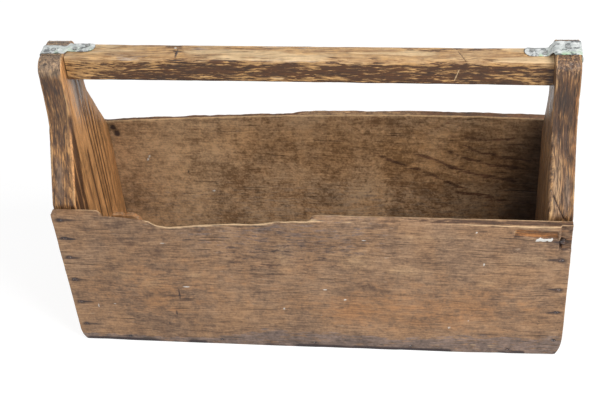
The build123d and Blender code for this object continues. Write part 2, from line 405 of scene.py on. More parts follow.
# Least radius of the side boards' edges, and what softness adds to it
edge_radii = {
    "front_outer": (0.0006, 0.0013),
    "front_inner": (0.0005, 0.0012),
    "back_outer": (0.001, 0.002),
    "back_inner": (0.0008, 0.0012),
}

# How near a vertex has to be to count as part of a large face, as a share of the thickness, or of the top
face_share = 0.02
top_skin = 0.0002


def end_reach(x, z, wear):
    """How far a side board reaches along X at each height, with its lower corners worn round."""
    reach = np.full(len(x), half_length)
    for side, sign in side_signs.items():
        width, height = wear[side]
        part = np.clip(1 - z / height, 0, 1)
        worn = half_length - width * (1 - np.sqrt(1 - part**2))
        reach = np.where(x * sign > 0, worn, reach)
    return reach


def stretch_ends(x, reach):
    """Moves the columns near the ends of a side board in to its worn outline."""
    part = np.clip((np.abs(x) - half_length + corner_zone) / corner_zone, 0, 1)
    return x - np.sign(x) * part * (half_length - reach)


def side_shape(wall, grid, top_of):
    """A side board drawn to its worn outline, with what its faces and marks are worked out from."""
    (x, depth, z), quads = lattice(*grid)
    top = top_of(x, depth)
    lift = np.where(x > 0, foot_lifts[wall]["right"], foot_lifts[wall]["left"])
    lift = lift * (x / half_length) ** foot_lift_power
    share = (z - warp_height) / (side_heights[wall] - warp_height)
    raised = warp_height + share * (top - warp_height)
    z = np.where(z > warp_height, raised, lift + z * (1 - lift / warp_height))
    reach = end_reach(x, z, corner_wear[wall])
    reach = reach - end_raggedness * cloud(columns(x, depth, z), wall + "_reach")
    x = stretch_ends(x, reach)
    points = columns(x, depth * side_thickness, z)
    below = (top - z).clip(0)
    beside = (reach - np.abs(x)).clip(0)
    dimple, stain = nail_marks(x, z, side_nail_places(wall))
    return SimpleNamespace(
        x=x, z=z, depth=depth, points=points, quads=quads,
        foot_gap=z - lift, below=below, beside=beside,
        distance=reduce(np.minimum, (below, beside, (z - lift).clip(0))),
        softness=cloud(points, wall + "_softness"),
        dimple=dimple, stain=stain,
        outer_face=depth < face_share, inner_face=depth > 1 - face_share, on_top=below < top_skin,
    )


def side_face(board, name, softness):
    """Depth of a side board's face below its plane: its rounded edges, its grain and its knocks."""
    least, more = edge_radii[name]
    face = rounding(board.distance, least + more * softness) + relief(board.points, name)
    return face + dents(board.x, board.z, name, *side_face_area)


def set_thickness(board, way, outer, inner):
    """Places a side board's vertices across its thickness, between its two uneven faces."""
    inward = outer + board.depth * (side_thickness - outer - inner)
    board.points[:, 1] = way * (half_depth - inward)


# The front board's worn crest, and its inner edge, which has broken away lower but for a sliver
front_crest = (
    (-0.305, 0.2119), (-0.229, 0.2119), (-0.22, 0.2108), (-0.208, 0.2092), (-0.196, 0.2079),
    (-0.1865, 0.2064), (-0.184, 0.2032), (-0.1766, 0.1992), (-0.1636, 0.1973), (-0.1428, 0.1993),
    (-0.1244, 0.2022), (-0.0824, 0.2053), (-0.0647, 0.2049), (-0.05, 0.2068), (-0.035, 0.2096),
    (-0.015, 0.2112), (0.02, 0.2114), (0.305, 0.2108),
)
front_inner_edge = (
    (-0.305, 0.212), (-0.25, 0.2118), (-0.2465, 0.206), (-0.243, 0.2), (-0.2355, 0.197),
    (-0.2335, 0.205), (-0.2305, 0.2114), (-0.219, 0.2118), (-0.2172, 0.2084), (-0.2155, 0.208),
    (-0.2135, 0.211), (-0.207, 0.2112), (-0.203, 0.2084), (-0.198, 0.2038), (-0.196, 0.1985),
    (-0.19, 0.1885), (-0.1636, 0.184), (-0.1244, 0.1885), (-0.0647, 0.192), (-0.003, 0.198),
    (0.003, 0.2045), (0.0075, 0.2105), (0.013, 0.212), (0.305, 0.2112),
)
break_left = -0.247
break_right = 0.004
break_blur = 0.003
shoulder_drop = 0.0016
valley_drop = 0.01
crest_raggedness = 0.0009
edge_raggedness = 0.0022
top_unevenness = 0.0005
depth_knots = (0.0, 0.2, 0.48, 0.6, 1.0)
front_depth_lines = np.array([
    0, 0.04, 0.09, 0.15, 0.2, 0.27, 0.34, 0.41, 0.48, 0.51,
    0.54, 0.57, 0.6, 0.68, 0.77, 0.86, 0.93, 0.97, 1,
])

# Splinter lost from the front's face, its chipped corner, and the slot beside the corner
splinter_span = (0.239, 0.2885)
splinter_heights = (0.195, 0.2057)
splinter_slopes = (0.04, 0.05)
splinter_depth = 0.0034
splinter_roughness = 0.0016
torn_edge = 0.0016
torn_blur = 0.0006
chip_left = 0.2915
chip_foot = 0.1765
chip_depth = 0.0055
chip_roughness = 0.003
chip_edge = 0.0015
chip_blur = 0.0008
slot_place = (0.2922, 0.183)
slot_size = (0.0015, 0.0068)
slot_depth = 0.0045

# Finer grid lines of the front board: columns across the chipped corner, and rows from a height up
chip_columns = np.arange(splinter_span[1] - 0.004, half_length - 0.003, 0.001)
fine_rows_foot = warp_height + 0.01

# Worn wood along the front's edges: how far each kind reaches from its edge, and its place on the board,
# in most cases as two ends and a blur
crest_fades = (0.0004, 0.002)
crest_depth_share = 0.3
crest_clear = (-0.2, -0.18)
crest_span = (break_left - 0.01, 0.015, 0.015)
lip_fade = 0.0028
lip_span = (0.215, 0.29, 0.01)
inner_arris_share = 0.09
inner_line_start = (0.0, 0.008)
inner_line_span = (-0.283, break_left, 0.006)
outer_arris_share = 0.07
outer_line_start = (0.13, 0.2)
rim_fade = 0.0013
left_edge_fade = 0.0018
left_edge_heights = (0.035, 0.15, 0.02)
sliver_fade = 0.0012
sliver_span = (-0.236, -0.195, 0.002)
sliver_depths = (0.4, 0.5)
sliver_foot = 0.19
torn_depths = (0.25, 0.99)
torn_foot = 0.17

# Dirt on the front: upper edge of the grey band along its foot, the black foot itself, and its top
front_band = (
    (-0.305, 0.012), (-0.28, 0.012), (-0.148, 0.01), (-0.09, 0.02), (-0.04, 0.033),
    (0.02, 0.027), (0.107, 0.0245), (0.23, 0.0325), (0.305, 0.038),
)
foot_fade = (0.0025, 0.0085)
foot_span = (-0.275, -0.2, 0.015)
top_dirt_depths = (0.22, 0.8, 0.08)
top_dirt_start = (0.07, 0.2)

# The smear of white paint near the front's right end
smear_span = (0.2645, 0.2822, 0.0012)
smear_heights = (0.1895, 0.1932, 0.0007)
smear_drip = 0.003

# Spots of each mark on the front, each with its place along X and Z, its half sizes and its strength
front_spots = {
    "paint": (
        ((-0.0354, 0.0672), (0.0017, 0.0014), 0.9),
        ((0.0102, 0.0588), (0.0012, 0.002), 0.8),
        ((0.0412, 0.0862), (0.0022, 0.0015), 0.8),
        ((0.0677, 0.1837), (0.0045, 0.0011), 0.8),
        ((0.0176, 0.1022), (0.0036, 0.0011), 0.8),
        ((-0.2507, 0.0663), (0.0042, 0.0014), 0.65),
        ((-0.2723, 0.0618), (0.0014, 0.0044), 0.7),
        ((-0.1548, 0.1001), (0.006, 0.0012), 0.75),
        ((0.2067, 0.1508), (0.0013, 0.0024), 0.8),
        ((0.1973, 0.2003), (0.0016, 0.0015), 0.8),
        ((0.1675, 0.0436), (0.0019, 0.0015), 0.9),
        ((0.1903, 0.0569), (0.0022, 0.0013), 0.6),
        ((0.093, 0.157), (0.0065, 0.0009), 0.65),
        ((-0.173, 0.1714), (0.007, 0.002), 0.45),
        ((0.047, 0.157), (0.012, 0.009), 0.38),
        ((-0.022, 0.161), (0.0014, 0.03), 0.36),
    ),
    "warm": (
        ((0.046, 0.064), (0.026, 0.022), 0.32),
        ((0.09, 0.066), (0.12, 0.038), 0.33),
        ((0.2, 0.085), (0.12, 0.06), 0.4),
        ((-0.2, 0.09), (0.1, 0.07), 0.45),
        ((-0.03, 0.13), (0.12, 0.07), 0.25),
    ),
    "pale": (
        ((0.055, 0.152), (0.022, 0.016), 0.55),
        ((0.115, 0.137), (0.024, 0.009), 0.45),
        ((0.211, 0.121), (0.012, 0.009), 0.5),
        ((-0.198, 0.105), (0.014, 0.011), 0.55),
        ((-0.141, 0.12), (0.012, 0.006), 0.5),
        ((-0.232, 0.117), (0.018, 0.009), 0.4),
        ((-0.03, 0.155), (0.008, 0.035), 0.4),
        ((0.14, 0.19), (0.04, 0.006), 0.35),
        ((0.26, 0.16), (0.03, 0.012), 0.35),
    ),
    "stain": (
        ((-0.176, 0.0845), (0.03, 0.0013), 0.72),
        ((0.085, 0.103), (0.05, 0.0013), 0.62),
        ((0.165, 0.153), (0.03, 0.0013), 0.58),
        ((0.215, 0.034), (0.022, 0.0014), 0.8),
        ((-0.09, 0.125), (0.035, 0.0013), 0.55),
        ((-0.165, 0.0873), (0.0014, 0.011), 0.85),
        ((-0.1725, 0.053), (0.0014, 0.0075), 0.75),
        ((-0.184, 0.036), (0.0014, 0.006), 0.7),
        ((-0.1406, 0.1782), (0.009, 0.0013), 0.85),
        ((-0.0893, 0.1946), (0.0016, 0.0014), 0.7),
        ((-0.0827, 0.1765), (0.0018, 0.0014), 0.6),
        ((0.105, 0.2055), (0.0035, 0.006), 0.42),
        ((0.104, 0.159), (0.005, 0.006), 0.34),
        ((0.185, 0.177), (0.012, 0.008), 0.3),
    ),
    "wear": (((0.2405, 0.2008), (0.002, 0.0036), 1.0),),
    "streaks": (((0.185, 0.0145), (0.06, 0.008), 0.6),),
    "grime": (((-0.03, 0.155), (0.15, 0.065), 0.19),),
    "grey": (((-0.03, 0.19), (0.14, 0.06), 0.35),),
}


def front_top(x, depth):
    """Height of the front board's top, which differs across its thickness where it has broken."""
    places = columns(x, depth * side_thickness, np.zeros(len(x)))
    broken = within(x, break_left, break_right, break_blur)
    crest = along(front_crest, x) - crest_raggedness * broken * cloud(places, "front_crest")
    edge = along(front_inner_edge, x) - edge_raggedness * broken * cloud(places, "front_edge")
    valley = crest + broken * (np.minimum(edge, crest - valley_drop) - crest)
    levels = [crest, crest - shoulder_drop * broken, valley, edge, edge]
    height = crest
    for number in range(len(depth_knots) - 1):
        low, high = depth_knots[number : number + 2]
        part = np.clip((depth - low) / (high - low), 0, 1)
        height = height + part * (levels[number + 1] - levels[number])
    return height - top_unevenness * cloud(places, "front_top")


def front_grid():
    """Planes that cut the front board along each axis."""
    xs = np.unique(np.concatenate([spaced(-half_length, half_length, board_pitch), chip_columns]))
    low_rows = spaced(0, front_height, board_pitch)
    low_rows = low_rows[low_rows < fine_rows_foot]
    high_rows = spaced(0, front_height, fine_pitch)
    zs = np.concatenate([low_rows, high_rows[high_rows > low_rows[-1] + fine_pitch / 2]])
    return xs, front_depth_lines, zs


def front_damage(board):
    """Finds the board's break, its lost splinter, its chipped corner and the slot beside it."""
    x, z, points = board.x, board.z, board.points
    torn = torn_edge * (cloud(points, "front_torn") - 0.5)
    foot, head = (
        height - slope * (x - splinter_span[0]) + torn
        for height, slope in zip(splinter_heights, splinter_slopes)
    )
    ragged = chip_edge * (cloud(points, "front_chip") - 0.5)
    board.broken = within(x, break_left, break_right, break_blur)
    board.splinter = within(x + torn, *splinter_span, chip_blur)
    board.splinter = board.splinter * above(z - foot, 0, torn_blur) * above(head - z, 0, torn_blur)
    board.chip = above(x - ragged, chip_left, chip_blur) * above(z, chip_foot, chip_blur)
    board.slot = spot(x, z, slot_place, slot_size)
    board.rough = cloud(points, "front_rough")


def front_faces(board):
    """Gives the front board its uneven faces, with the splinter, the chip and the slot cut into them."""
    outer = side_face(board, "front_outer", board.softness * (1 - 0.6 * board.broken))
    outer += nail_dimple_depth * board.dimple + slot_depth * board.slot
    outer += board.splinter * (splinter_depth - splinter_roughness * board.rough)
    outer += board.chip * (chip_depth - chip_roughness * board.rough)
    inner = side_face(board, "front_inner", board.softness)
    set_thickness(board, -1, outer, inner)


def front_wear(board, sliver):
    """Pale worn wood along the front's edges."""
    x, z, depth, below, points = board.x, board.z, board.depth, board.below, board.points
    near_front = depth < crest_depth_share
    crest = near(below, crest_fades[0] + crest_fades[1] * cloud(points, "front_crest_wear")) * near_front
    crest = crest * (0.35 + 0.65 * ease(*crest_clear, x)) * within(x, *crest_span)
    lip = near(below, lip_fade) * within(x, *lip_span)
    outer_line = near(depth, outer_arris_share) * near_front * ease(*outer_line_start, x)
    inner_arris = near(1 - depth, inner_arris_share)
    inner_line = inner_arris * ease(*inner_line_start, x)
    rims = near(np.minimum(below, board.beside), rim_fade) * cloud(points, "front_patches")
    left_edge = near(board.beside, left_edge_fade) * (x < 0) * within(z, *left_edge_heights)
    sliver_rim = near(below, sliver_fade) * (depth > 0.5) * within(x, *sliver_span)
    streaks = cloud(points, "front_streaks") * spots(x, z, front_spots["streaks"])
    on_face = most(0.75 * lip, 0.8 * left_edge, streaks, spots(x, z, front_spots["wear"])) * board.outer_face
    left_line = inner_arris * within(x, *inner_line_span)
    on_top = most(0.85 * outer_line, 0.85 * inner_line, left_line) * board.on_top
    on_rims = 0.55 * rims * (board.outer_face | board.inner_face)
    return most(crest, on_face, on_top, on_rims, 0.8 * sliver_rim, 0.55 * sliver)


def front_marks(board):
    """Wear, dirt and paint of the front board."""
    x, z, depth, points, outer_face = board.x, board.z, board.depth, board.points, board.outer_face
    sliver = within(x, *sliver_span) * ease(*sliver_depths, depth) * (z > sliver_foot)
    torn = board.broken * (depth > torn_depths[0]) * (depth < torn_depths[1]) * (z > torn_foot)
    band = along(front_band, x) * (0.7 + 0.6 * cloud(points, "front_band"))
    foot = most(cloud(points, "front_foot"), within(x, *foot_span)) * (1 - ease(*foot_fade, board.foot_gap))
    foot = foot * (outer_face | board.inner_face)
    top_dirt = board.on_top * within(depth, *top_dirt_depths) * ease(*top_dirt_start, x)
    drip = smear_drip * (cloud(points, "front_drip") - 0.5)
    smear = within(x + 2 * drip, *smear_span) * within(z + drip, *smear_heights)
    found = {mark: spots(x, z, front_spots[mark]) for mark in ("stain", "pale", "grime", "grey", "paint")}
    stain = most(board.stain * (1 - 0.7 * board.chip), 0.95 * board.slot, found["stain"])
    return {
        "stain": most(stain * outer_face, 0.9 * foot),
        "grey": 0.85 * (1 - ease(0.7, 1.2, z / band)) + found["grey"],
        "fresh": most(0.5 * board.splinter, 0.5 * board.chip * board.rough, 0.65 * sliver, 0.4 * torn),
        "wear": front_wear(board, sliver),
        "warm": spots(x, z, front_spots["warm"], np.add),
        "pale": found["pale"] * outer_face,
        "grime": most(top_dirt, found["grime"] * outer_face, 0.5 * board.chip, 0.9 * board.splinter),
        "paint": most(smear, found["paint"]) * outer_face,
    }


def front_board(material):
    board = side_shape("front", front_grid(), front_top)
    front_damage(board)
    front_faces(board)
    marks = front_marks(board)
    new_piece("front_board_worn", board.points, board.quads, material, "side_wood", "front_board", **marks)


# The back board's top edge: the arc of its solid, and how far its split outer side has dropped
back_crest_x = 0.128
back_wear = {"left": 0.017, "right": 0.005}
back_split = (
    (-0.305, 0.0028), (-0.2, 0.0036), (-0.06, 0.0034), (-0.036, 0.003), (-0.022, 0.0002), (0.305, 0.0002),
)
back_top_gap = 0.0002
back_split_depths = (0.45, 0.9)
back_split_raggedness = 0.0024
back_top_raggedness = 0.0007
back_depth_lines = np.array([0, 0.05, 0.11, 0.19, 0.28, 0.38, 0.48, 0.58, 0.68, 0.78, 0.87, 0.94, 1])

# Dark grain lines on the back's inner face, each a run of places with its half width and strength
back_lines = (
    (((0.176, 0.192), (0.202, 0.1774), (0.231, 0.1694), (0.266, 0.165)), 0.0034, 0.75),
    (((0.145, 0.189), (0.165, 0.1767), (0.187, 0.1648), (0.226, 0.1569), (0.258, 0.152)), 0.0034, 0.75),
    (((0.118, 0.1745), (0.148, 0.1627), (0.179, 0.1459), (0.207, 0.1402), (0.25, 0.1316)), 0.0036, 0.8),
    (((0.066, 0.176), (0.099, 0.1567), (0.128, 0.1473), (0.156, 0.1301), (0.183, 0.118)), 0.0034, 0.7),
    (((0.17, 0.113), (0.208, 0.1069), (0.224, 0.102)), 0.0034, 0.75),
    (((0.222, 0.0985), (0.274, 0.097)), 0.003, 0.75),
    (((0.134, 0.2062), (0.155, 0.2212), (0.18, 0.2342)), 0.0032, 0.6),
    (((0.16, 0.2022), (0.18, 0.2025), (0.205, 0.2005), (0.247, 0.1986)), 0.0032, 0.65),
    (((0.108, 0.184), (0.113, 0.2037), (0.121, 0.2206), (0.137, 0.231)), 0.0042, 0.55),
)
back_line_blur = 0.006
back_line_waviness = 0.006

# Spots of each mark on the back's inner face, each with its place, its half sizes and its strength
back_spots = {
    "stain": (
        ((-0.2715, 0.2105), (0.0042, 0.0045), 1.0),
        ((-0.2675, 0.2), (0.0048, 0.0058), 1.0),
        ((-0.18, 0.138), (0.0022, 0.0042), 0.7),
        ((-0.161, 0.143), (0.0018, 0.0036), 0.5),
    ),
    "warm": (
        ((0.14, 0.17), (0.16, 0.07), 0.6),
        ((-0.08, 0.19), (0.12, 0.05), 0.4),
    ),
    "paint": (((-0.15, 0.106), (0.0024, 0.0018), 1.0),),
}

# Scratch on the back's inner face, as its slant, its two ends with a blur, and its heights with a blur
scratch_slant = 0.5
scratch_span = (-0.3125, -0.3105, 0.0008)
scratch_heights = (0.1545, 0.165, 0.0012)

# Tones of the back: where it has painted shade, where its inner face has painted light towards the left,
# where it is plain or grey, and its worn rim and dirty top
corner_shade = (0.185, 0.287)
corner_shade_slant = 0.2
corner_shade_height = 0.14
middle_shade_span = (-0.12, 0.07, 0.06)
painted_light_span = (0.0, -0.22)
plain_span = (-0.1, 0.1)
plain_slant = 1.5
plain_height = 0.17
inner_grey_heights = (0.17, 0.09)
outer_grey_heights = (0.03, 0.01)
back_rim_fade = 0.0009
back_rim_depths = (0.86, 0.97)
back_top_dirt_depth = 0.93
back_top_clean_span = (-0.025, 0.13, 0.01)


def line_marks(x, z, lines):
    """Strength of lines that run along X through the places of each run."""
    total = np.zeros(len(x))
    for run, width, strength in lines:
        span = within(x, run[0][0], run[-1][0], back_line_blur)
        total = np.maximum(total, strength * stroke(z - along(run, x), width) * span)
    return total


def back_top(x, depth):
    """Height of the back board's top, whose outer side has split off along its left half."""
    places = columns(x, depth * side_thickness, np.zeros(len(x)))
    span = np.where(x < back_crest_x, back_crest_x + half_length, half_length - back_crest_x)
    wear = np.where(x < back_crest_x, back_wear["left"], back_wear["right"])
    crest = back_height - back_top_gap - wear * ((x - back_crest_x) / span) ** 2
    split = along(back_split, x) + back_split_raggedness * (cloud(places, "back_split") - 0.5)
    slope = 1 - ease(*back_split_depths, depth)
    return crest - np.maximum(split, 0) * slope - back_top_raggedness * cloud(places, "back_top")


def back_marks(board):
    """Wear, dirt, tones, painted shade and painted light of the back board."""
    x, z, depth, points = board.x, board.z, board.depth, board.points
    inner_face, outer_face = board.inner_face, board.outer_face
    rim = near(board.below, back_rim_fade) * inner_face + 0.6 * board.on_top * ease(*back_rim_depths, depth)
    outer_rim = near(board.distance, rim_fade) * outer_face * cloud(points, "back_patches")
    scratch = within(x - scratch_slant * z, *scratch_span) * within(z, *scratch_heights)
    corner = ease(*corner_shade, x + corner_shade_slant * (corner_shade_height - z))
    plain = 1 - ease(*plain_span, x - plain_slant * (plain_height - z).clip(0))
    top_dirt = board.on_top * (depth < back_top_dirt_depth) * (0.85 - 0.4 * within(x, *back_top_clean_span))
    wavy = back_line_waviness * (cloud(points, "back_waves") - 0.5)
    lines = line_marks(x, z + wavy, back_lines)
    weather = cloud(points, "back_weather")
    faded = 0.45 * ease(0.5, 0.36, weather)
    dusty = 0.2 * cloud(points, "back_dust")
    inner_grey = 0.4 * ease(*inner_grey_heights, z)
    outer_grey = 0.7 * ease(*outer_grey_heights, z)
    stain, warm = (spots(x, z, back_spots[mark], np.add) for mark in ("stain", "warm"))
    return {
        "stain": np.where(inner_face, stain, board.stain * outer_face),
        "shade": most(0.95 * corner, 0.24 * within(x, *middle_shade_span)) * inner_face,
        # Pale on the inner face is painted light, rising towards the left; on the outer face it is
        # weathering
        "pale": 0.72 * ease(*painted_light_span, x) * inner_face + faded * outer_face,
        "plain": np.where(inner_face, plain, 0.8),
        "grey": inner_grey * inner_face + outer_grey * outer_face,
        "wear": most(0.9 * rim, 0.5 * outer_rim),
        "warm": np.where(inner_face, warm, 0.5 * ease(0.48, 0.66, weather)),
        "grime": most(top_dirt, lines * inner_face, dusty * outer_face),
        "paint": most(scratch, spots(x, z, back_spots["paint"])) * inner_face,
    }


def back_board(material, outer_material):
    """The back board, whose outer face has a wood of its own."""
    xs = spaced(-half_length, half_length, coarse_pitch)
    board = side_shape("back", (xs, back_depth_lines, spaced(0, back_height, board_pitch)), back_top)
    outer = side_face(board, "back_outer", board.softness) + nail_dimple_depth * board.dimple
    set_thickness(board, 1, outer, side_face(board, "back_inner", board.softness))
    marks = back_marks(board)
    quads = board.quads[:, ::-1]
    piece = new_piece("back_board_worn", board.points, quads, material, "side_wood", "back_board", **marks)
    piece.data.materials.append(outer_material)
    on_outer_face = board.outer_face[quads].all(axis=1)
    piece.data.polygons.foreach_set("material_index", on_outer_face.astype(np.int32))


# End boards: the flare above the sides, the neck and the rounded crown
shoulder_height = front_height + 0.004
neck_height = 0.304
neck_foot_half_width = 0.035
neck_top_half_width = 0.03
neck_softness = 0.0014
crown_radius = 0.016
crown_steps = 14
end_foot_radius = 0.01
end_depth_lines = np.linspace(0, 1, 25)
end_face_share = 0.01
end_rim_share = 0.999
end_top_skin = 0.0005

# Wear of the end boards' shape: rounded edges, furrows, fibres of their rims, and the arris beside the front
end_width_raggedness = 0.0009
end_edge_radius = 0.001
end_edge_softness = 0.001
end_neck_softness = 0.0024
outer_furrow_depth = 0.0003
inner_furrow_depth = 0.0006
groove_depth = 0.0014
groove_blur = 0.012
rim_fibre_depth = 0.0011
worn_arris_heights = (front_height, 0.29, 0.02)
end_dent_foot = 0.01
end_dent_share = 0.7

# Dark grooves of the inner faces, each with its two ends, its half width and its strength
end_grooves = {
    "left": (
        ((-0.033, 0.315), (-0.048, 0.2), 0.008, 0.82),
        ((-0.048, 0.2), (-0.052, 0.08), 0.008, 0.75),
        ((-0.036, 0.29), (-0.053, 0.2), 0.0028, 0.85),
        ((0.002, 0.315), (-0.006, 0.262), 0.004, 0.5),
        ((-0.0047, 0.245), (-0.0043, 0.1), 0.0036, 0.85),
        ((0.012, 0.3), (0.016, 0.1), 0.0022, 0.95),
        ((0.022, 0.3), (0.0235, 0.13), 0.0018, 0.85),
        ((0.032, 0.29), (0.031, 0.1), 0.0022, 0.95),
        ((0.042, 0.275), (0.039, 0.12), 0.0018, 0.85),
        ((0.052, 0.255), (0.05, 0.1), 0.0018, 0.8),
        ((0.064, 0.23), (0.062, 0.14), 0.0012, 0.5),
    ),
    "right": (
        ((-0.02, 0.33), (-0.03, 0.1), 0.003, 0.7),
        ((0.015, 0.32), (0.02, 0.08), 0.0015, 0.7),
        ((-0.055, 0.24), (-0.06, 0.05), 0.002, 0.6),
        ((0.05, 0.25), (0.047, 0.06), 0.0012, 0.6),
    ),
}

# Cracks in the front edges of the ends, written like the grooves but with places along X
end_cracks = {
    "left": (),
    "right": (
        ((0.2775, 0.243), (0.2875, 0.2245), 0.0009, 1.0),
        ((0.2875, 0.2245), (0.296, 0.209), 0.0009, 1.0),
    ),
}
crack_depth = 0.0025
crack_blur = 0.0005

# How strong each kind of wear and dirt is on the two ends, with the painted shade of the right's inner face,
# and how far the arris beside the front is worn
end_states = {
    "left": SimpleNamespace(
        band=0.85, dirt=0.9, warmth=0.8, painted_inner_shade=0.0, arris=0.0,
        crown_wear=0.45, crown_dirt=0.2, crown_fade=0.75,
    ),
    # The right end's inner face faces away from the light: its painted inner shade and its low warmth paint
    # that shade
    "right": SimpleNamespace(
        band=0.0, dirt=1.0, warmth=0.1, painted_inner_shade=0.34, arris=0.0032,
        crown_wear=0.1, crown_dirt=0.6, crown_fade=0.25,
    ),
}

# Patches of each mark on the upright edges of the ends: the place as a share of the thickness and a height,
# the half sizes of the same kinds, and the strength
end_edge_patches = {
    "left": {
        "grime": (((0.45, 0.332), (0.32, 0.022), 0.95),),
        "grey": (((0.34, 0.243), (0.34, 0.036), 0.8),),
        "wear": (((0.95, 0.29), (0.18, 0.1), 0.6),),
        "pale": (),
        "fresh": (),
        "shade": (),
    },
    "right": {
        "grime": (((0.5, 0.345), (0.42, 0.026), 1.0), ((0.45, 0.285), (0.36, 0.024), 0.75)),
        "grey": (((0.3, 0.24), (0.26, 0.036), 0.9),),
        "wear": (),
        "pale": (((0.85, 0.245), (0.3, 0.045), 0.7),),
        "fresh": (((0.02, 0.31), (0.1, 0.08), 0.5),),
        "shade": (((0.55, 0.34), (0.36, 0.02), 0.7), ((0.5, 0.305), (0.42, 0.04), 0.38)),
    },
}

# Where the marks of the ends lie: worn edges, end grain of the crown, the hand-polished part of the inner
# face with a painted sheen on it, the dark band beside its front edge, and the streaks under the nails
end_rim_fade = 0.0016
end_arris_share = 0.06
worn_arris_fade = 0.008
crown_raggedness = 0.016
crown_blur = (0.01, 0.003)
polish_and_sheen_heights = (0.255, 0.32)
polish_and_sheen_span = (-0.012, 0.024, 0.012)
band_gap = 0.0022
band_widths = (0.011, 0.04)
band_width_heights = (0.305, 0.215)
band_blur = 0.0018
band_heights = (0.12, 0.3, 0.02)
nail_streak_size = (0.003, 0.009)


def end_half_widths(z):
    """Half the width of an end board at each height, without its crown."""
    flare = (end_half_width - neck_foot_half_width) / (neck_height - shoulder_height)
    taper = (neck_foot_half_width - neck_top_half_width) / (end_heights["left"] - neck_height)
    sloped = end_half_width - flare * (z - shoulder_height)
    neck = neck_foot_half_width - taper * (z - neck_height)
    blended = (sloped + neck) / 2 + np.sqrt(((sloped - neck) / 2) ** 2 + neck_softness**2)
    return np.minimum(blended, end_half_width)


def groove_marks(y, z, grooves, blur):
    """Strength of dark grooves that run between pairs of places on a face."""
    total = np.zeros(len(y))
    for (y_from, z_from), (y_to, z_to), width, strength in grooves:
        part = np.clip((z - z_from) / (z_to - z_from), 0, 1)
        gap = y - y_from - part * (y_to - y_from)
        taper = within(z, min(z_from, z_to), max(z_from, z_to), blur)
        total = np.maximum(total, strength * stroke(gap, width) * taper)
    return total


def end_grid(height):
    """Planes that cut an end board: across its thickness, across its width as shares, and its rows."""
    shoulder = height - crown_radius
    crown_rows = shoulder + crown_radius * np.sin(np.linspace(0, math.pi / 2, crown_steps))
    straight = spaced(0, height, end_pitch)
    rows = np.concatenate([straight[straight < shoulder - end_pitch / 2], crown_rows])
    shares = spaced(-end_half_width, end_half_width, board_pitch) / end_half_width
    return end_depth_lines, shares, rows


def end_shape(side):
    """An end board drawn to its outline, with what its faces and marks are worked out from."""
    sign = side_signs[side]
    height = end_heights[side]
    shoulder = height - crown_radius
    (depth, share, z), quads = lattice(*end_grid(height))
    plain_width = end_half_widths(z)
    rise = np.clip(z - shoulder, 0, crown_radius)
    width = plain_width - crown_radius + np.sqrt(np.maximum(crown_radius**2 - rise**2, 0))
    rims = columns(np.full(len(z), float(sign)), np.sign(share), z)
    width = width - end_width_raggedness * cloud(rims, "end_width")
    y = share * width
    over = np.clip(np.abs(y) - plain_width + crown_radius, 0, None)
    crown_gap = crown_radius - np.hypot(over, rise)
    points = columns(sign * (half_length - depth * end_thickness), y, z)
    return SimpleNamespace(
        side=side, sign=sign, height=height, shoulder=shoulder, state=end_states[side],
        y=y, z=z, depth=depth, share=share, points=points, quads=quads,
        distance=np.where(z > shoulder, crown_gap, width - np.abs(y)).clip(0),
        softness=cloud(points, "end_softness"),
        outer_face=depth < end_face_share, inner_face=depth > 1 - end_face_share,
        rim=np.abs(share) > end_rim_share, before=share < 0,
        fine_lines=cloud(points, "end_lines", sign),
        grooves=groove_marks(y, z, end_grooves[side], groove_blur),
        worn_arris=(share < 0) * within(z, *worn_arris_heights),
    )


def end_faces(board):
    """Gives an end board its uneven faces and the fibres and cracks of its rims."""
    depth, z, points = board.depth, board.z, board.points
    wear_up = ease(shoulder_height, neck_height, z)
    radius = end_edge_radius + (end_edge_softness + end_neck_softness * wear_up) * board.softness
    board.furrows = ease(0.52, 0.68, board.fine_lines) * cloud(points, "end_furrows")
    outer = rounding(board.distance, radius) + rounding(z, end_foot_radius) + relief(points, "end_outer")
    knocks = ((-end_half_width, end_dent_foot), (end_half_width, board.height))
    outer += end_dent_share * dents(board.y, z, "end_outer", *knocks, board.sign)
    outer += outer_furrow_depth * board.furrows
    inner = rounding(board.distance, radius + board.state.arris * board.worn_arris)
    inner += relief(points, "end_inner") + inner_furrow_depth * board.furrows + groove_depth * board.grooves
    outward = outer + depth * (end_thickness - outer - inner)
    points[:, 0] = board.sign * (half_length - outward)
    between_faces = (depth > 0) & (depth < 1)
    fibres = rim_fibre_depth * cloud(points, "end_fibres")
    points[:, 1] -= np.sign(board.share) * board.rim * between_faces * fibres
    cracks = groove_marks(np.abs(points[:, 0]), z, end_cracks[board.side], crack_blur)
    board.crack = cracks * board.rim * board.before
    points[:, 1] += crack_depth * board.crack


